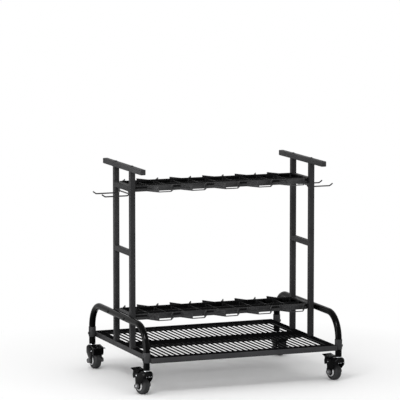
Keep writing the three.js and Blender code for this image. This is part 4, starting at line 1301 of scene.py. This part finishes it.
def makeAxle(corner):
    sizes, place = axleSizes, casterPlace(corner)
    start = forkHalf + sizes["gap"]
    end = start + sizes["cupHeight"]
    floor = end - sizes["recessDepth"]
    tip = floor + sizes["endHeight"]
    cup, bore, recess, pin = sizes["cupRadius"], sizes["cupBore"], sizes["recessRadius"], sizes["endRadius"]
    turns = [math.radians(turn) for turn in range(0, 360, 60)]
    hexagon = [(sizes["nutReach"] * math.cos(turn), sizes["nutReach"] * math.sin(turn)) for turn in turns]
    flats = roundedOutline(hexagon, sizes["nutCorner"], 3)
    cover, bright = Shell(), Shell()
    for sign in (-1, 1):
        face = place @ wheelPlace @ outwardTurn(sign)
        cover.lathe([
            (bore, start), (cup - 0.0004, start), (cup, start + 0.0004), (cup, end - 0.0016),
            (cup - 0.0003, end - 0.0007), (cup - 0.0009, end - 0.0002), (cup - 0.0017, end),
            (recess + 0.0006, end), (recess + 0.0002, end - 0.0002), (recess, end - 0.0006),
            (recess, floor + 0.0003), (recess - 0.0003, floor), (bore, floor),
        ], sizes["cupSides"], face, closed=True)
        nut = plate([flats], sizes["nutHeight"], sizes["nutEdge"])
        bright.addMesh(nut, face @ Matrix.Translation((0, 0, floor)))
        bright.lathe([
            (0.0, tip), (pin - 0.0007, tip), (pin - 0.0002, tip - 0.0002), (pin, tip - 0.0007),
            (pin, floor - 0.0002),
        ], sizes["pinSides"], face)
    rod = sizes["radius"]
    rodEnds = [(0.0, -start), (rod, -start), (rod, start), (0.0, start)]
    bright.lathe(rodEnds, sizes["pinSides"], place @ axlePlace)
    casterPiece(cover, "axle", corner, "cups", cupPlastic, "swivel", "caster_plastic", extra=True)
    return casterPiece(bright, "axle", corner, "pin", nutSteel, "swivel", "zinc_steel")


# Pedal: a ribbed tread with a lip, and a body that curves round behind the wheel

pedalSizes = {
    "width": 0.046, "reach": 0.077, "start": 0.021, "thickness": 0.0035, "tipRise": 0.003,
    "treadDrop": 0.0025, "lip": 0.005, "lipWidth": 0.004, "corner": 0.002, "bodyStart": 0.028, "neck": 0.060,
    "neckDrop": 0.011, "back": 0.063, "backDrop": 0.022, "wideStart": 0.0485, "endGap": 0.007,
    "rootGap": 0.0035, "saddle": 0.0035, "endTurn": 45, "rootTurn": 80, "arcSteps": 9, "pivot": 0.038,
    "edge": 0.0008, "ribCount": 5, "ribStart": 0.0285, "ribPitch": 0.0062, "ribHalf": 0.0011,
    "ribHeight": 0.0007, "ribSink": 0.0005, "ribEnd": 0.006, "ribEdge": 0.0004,
}


def pedalSide():
    sizes, height, start, thickness = pedalSizes, casterTop, pedalSizes["start"], pedalSizes["thickness"]
    top, tip = height - sizes["treadDrop"], height + sizes["tipRise"]
    low, neck, reach = top - thickness, sizes["neck"], sizes["reach"]
    places = [((start, top), 0.0012), ((start, low), 0.0012), ((sizes["bodyStart"], low), 0.002)]
    for step in range(sizes["arcSteps"] + 1):
        share = step / sizes["arcSteps"]
        turn = math.radians(sizes["rootTurn"] + (sizes["endTurn"] - sizes["rootTurn"]) * share)
        gap = casterSizes["wheelRadius"] + sizes["rootGap"] + (sizes["endGap"] - sizes["rootGap"]) * share
        places.append(((trail + gap * math.cos(turn), axleZ + gap * math.sin(turn)), 0))
    endX, endZ = places[-1][0]
    return outlinePoints(places + [
        ((endX + sizes["saddle"], endZ), 0.0015), ((sizes["back"], height - sizes["backDrop"]), 0.005),
        ((neck, height - sizes["neckDrop"]), 0.0015), ((neck, low), 0.002),
        ((reach - sizes["lipWidth"], tip - thickness), 0.001), ((reach, tip - sizes["lip"]), 0.001),
        ((reach, tip), 0.0015), ((neck, top), 0.02),
    ])


def pedalPivot(corner):
    return Matrix.Translation((pedalSizes["pivot"], 0, joints[f"pedal_press_{corner}"]["pos_m"][2]))


def pedalPlace(corner):
    # the modelled pedal is level; a pressed one rests at its joint's far end
    turn = Matrix.Rotation(math.radians(-joints[f"pedal_press_{corner}"]["range_deg"][0]), 4, "Y")
    return casterPlace(corner) @ pedalPivot(corner) @ turn @ pedalPivot(corner).inverted()


def makePedal(corner):
    sizes, place, inner = pedalSizes, pedalPlace(corner), forkInside - casterSizes["play"]
    half, top, thickness = sizes["width"] / 2, casterTop - sizes["treadDrop"], sizes["thickness"]
    plan = outlinePoints([
        ((sizes["start"], -half), thickness), ((sizes["reach"], -half), sizes["corner"]),
        ((sizes["reach"], half), sizes["corner"]), ((sizes["start"], half), thickness),
    ])
    under = prismMesh(rectangle(0, sizes["wideStart"], -2 * half, 2 * half), 0, top - thickness)
    body = carved(prismMesh(pedalSide(), -inner, inner, sideTurn), [], [], sizes["edge"])
    blank = prismMesh(pedalSide(), -half, half, sideTurn)
    shell = Shell()
    shell.addMesh(body, place)
    shell.addMesh(carved(blank, [prismMesh(plan, 0, 2 * casterTop)], [under], sizes["edge"]), place)
    ribHalf, ribReach, sink = sizes["ribHalf"], half - sizes["ribEnd"], sizes["ribSink"]
    for index in range(sizes["ribCount"]):
        x = sizes["ribStart"] + index * sizes["ribPitch"]
        outline = roundedOutline(rectangle(x - ribHalf, x + ribHalf, -ribReach, ribReach), ribHalf * 0.9, 3)
        rib = plate([outline], sizes["ribHeight"] + sink, sizes["ribEdge"])
        shell.addMesh(rib, place @ Matrix.Translation((0, 0, top - sink)))
    return casterPiece(shell, "pedal", corner, "tread", casterPlastic, "pedal", "caster_plastic", 32)


pinSizes = {"radius": 0.0025, "proud": 0.0004, "length": 0.0044, "edge": 0.0005, "sides": 20}


def makePedalPins(corner):
    # the two bright pin ends that show on the cheeks
    sizes, radius, end, edge = pinSizes, pinSizes["radius"], forkHalf + pinSizes["proud"], pinSizes["edge"]
    profile = [(0.0, end), (radius - 0.0006, end), (radius, end - edge), (radius, end - sizes["length"])]
    places = [pedalPlace(corner) @ pedalPivot(corner) @ outwardTurn(sign) for sign in (-1, 1)]
    pins = turned(profile, sizes["sides"], places, closed=False)
    return pins.piece(f"pedal_pins_{corner}", zincSteel, f"pedal_{corner}", "zinc_steel")


for corner in corners:
    for makePart in (
        makeStem, makeFork, makeForkRivets, makeTyre, makeRim, makeWeb, makeAxle, makeRimRings, makePedal,
        makePedalPins,
    ):
        makePart(corner)
print("casters made")


# Floor, light and camera

studioSizes = {
    "floorRadius": 60.0, "shadeInner": 0.5, "shadeOuter": 1.35, "floorColor": (0.92, 0.92, 0.92),
    "worldLight": 0.84,
}
lampSizes = {
    "keyLamp": {"place": (-2.2, -2.4, 3.6), "power": 60, "size": 1.8},
    "fillLamp": {"place": (1.5, -4.0, 2.4), "power": 14, "size": 2.5},
    "sideLamp": {
        "place": (-1.5, -0.5, 0.5), "aim": (0, -0.5, 0.5), "power": 46, "size": 1.4, "height": 1.0,
        "glossOnly": True,
    },
    "sparkLamp": {"place": (-1.87, -2.17, 3.17), "power": 180, "size": 0.8, "glossOnly": True},
}
cameraSizes = {
    "place": (-4.595, -11.566, 2.361), "tilt": 82.507, "heading": -21.397, "sensor": 36.0, "lens": 275.5,
    "shift": 0.00075, "reach": 200.0,
}


def seenRays(tree):
    # the rays that show the backdrop itself: straight from the camera, off a gloss or through glass
    rays = addNode(tree, "ShaderNodeLightPath").outputs
    either = combined(tree, "MAXIMUM", rays["Is Camera Ray"], rays["Is Glossy Ray"])
    return combined(tree, "MAXIMUM", either, rays["Is Transmission Ray"])


def showMix(tree, factor, first, second, output):
    mix = addNode(tree, "ShaderNodeMixShader", {"Fac": factor, 1: first, 2: second})
    setInputs(tree, tree.nodes[output], {"Surface": mix})


def makeFloor():
    mesh = bpy.data.meshes.new("studioFloor")
    reach = studioSizes["floorRadius"]
    mesh.from_pydata(lifted(rectangle(-reach, reach, -reach, reach), 0), [], [(0, 1, 2, 3)])
    floor = linkObject("studioFloor", mesh)
    material, tree, shader = newMaterial("floorPaint", studioSizes["floorColor"], 0.9, specular=0.1)
    place = addNode(tree, "ShaderNodeTexCoord").outputs["Object"]
    length = addNode(tree, "ShaderNodeVectorMath", {0: place}, operation="LENGTH").outputs["Value"]
    away = mapped(tree, length, studioSizes["shadeInner"], studioSizes["shadeOuter"], 0, 1)
    white = addNode(tree, "ShaderNodeEmission", {"Color": (1, 1, 1, 1), "Strength": 1.0})
    showMix(tree, combined(tree, "MULTIPLY", away, seenRays(tree)), shader, white, "Material Output")
    mesh.materials.append(material)


def makeWorld():
    world = bpy.data.worlds.new("studioWorld")
    bpy.context.scene.world = world
    world.use_nodes = True
    tree = world.node_tree
    light = setInputs(tree, tree.nodes["Background"], {
        "Color": (1, 1, 1, 1), "Strength": studioSizes["worldLight"],
    })
    seen = addNode(tree, "ShaderNodeBackground", {"Color": (1, 1, 1, 1), "Strength": 1.0})
    showMix(tree, seenRays(tree), light, seen, "World Output")


def makeLamp(name, place, power, size, aim=(0, 0, 0.4), height=0.0, glossOnly=False):
    # a lamp for gloss only shows as highlights on smooth plastic and steel
    lamp = bpy.data.lights.new(name, "AREA")
    lamp.energy = power
    lamp.shape = "RECTANGLE" if height else "DISK"
    lamp.size = size
    lamp.size_y = height or size
    obj = linkObject(name, lamp)
    obj.location = place
    obj.rotation_euler = (Vector(aim) - Vector(place)).to_track_quat("-Z", "Y").to_euler()
    if glossOnly:
        obj.visible_diffuse = False
        obj.visible_camera = False


def makeCamera():
    # the photo's own viewpoint, fitted to the tray, posts and bars
    sizes, lens = cameraSizes, bpy.data.cameras.new("photoCamera")
    lens.sensor_width = sizes["sensor"]
    lens.lens = sizes["lens"]
    lens.clip_end = sizes["reach"]
    lens.shift_x = sizes["shift"]
    camera = linkObject("photoCamera", lens)
    camera.location = sizes["place"]
    camera.rotation_euler = (math.radians(sizes["tilt"]), 0, math.radians(sizes["heading"]))
    bpy.context.scene.camera = camera


makeFloor()
makeWorld()
for name, sizes in lampSizes.items():
    makeLamp(name, **sizes)
makeCamera()
bpy.context.scene.view_settings.view_transform = "Standard"
print("studio made")
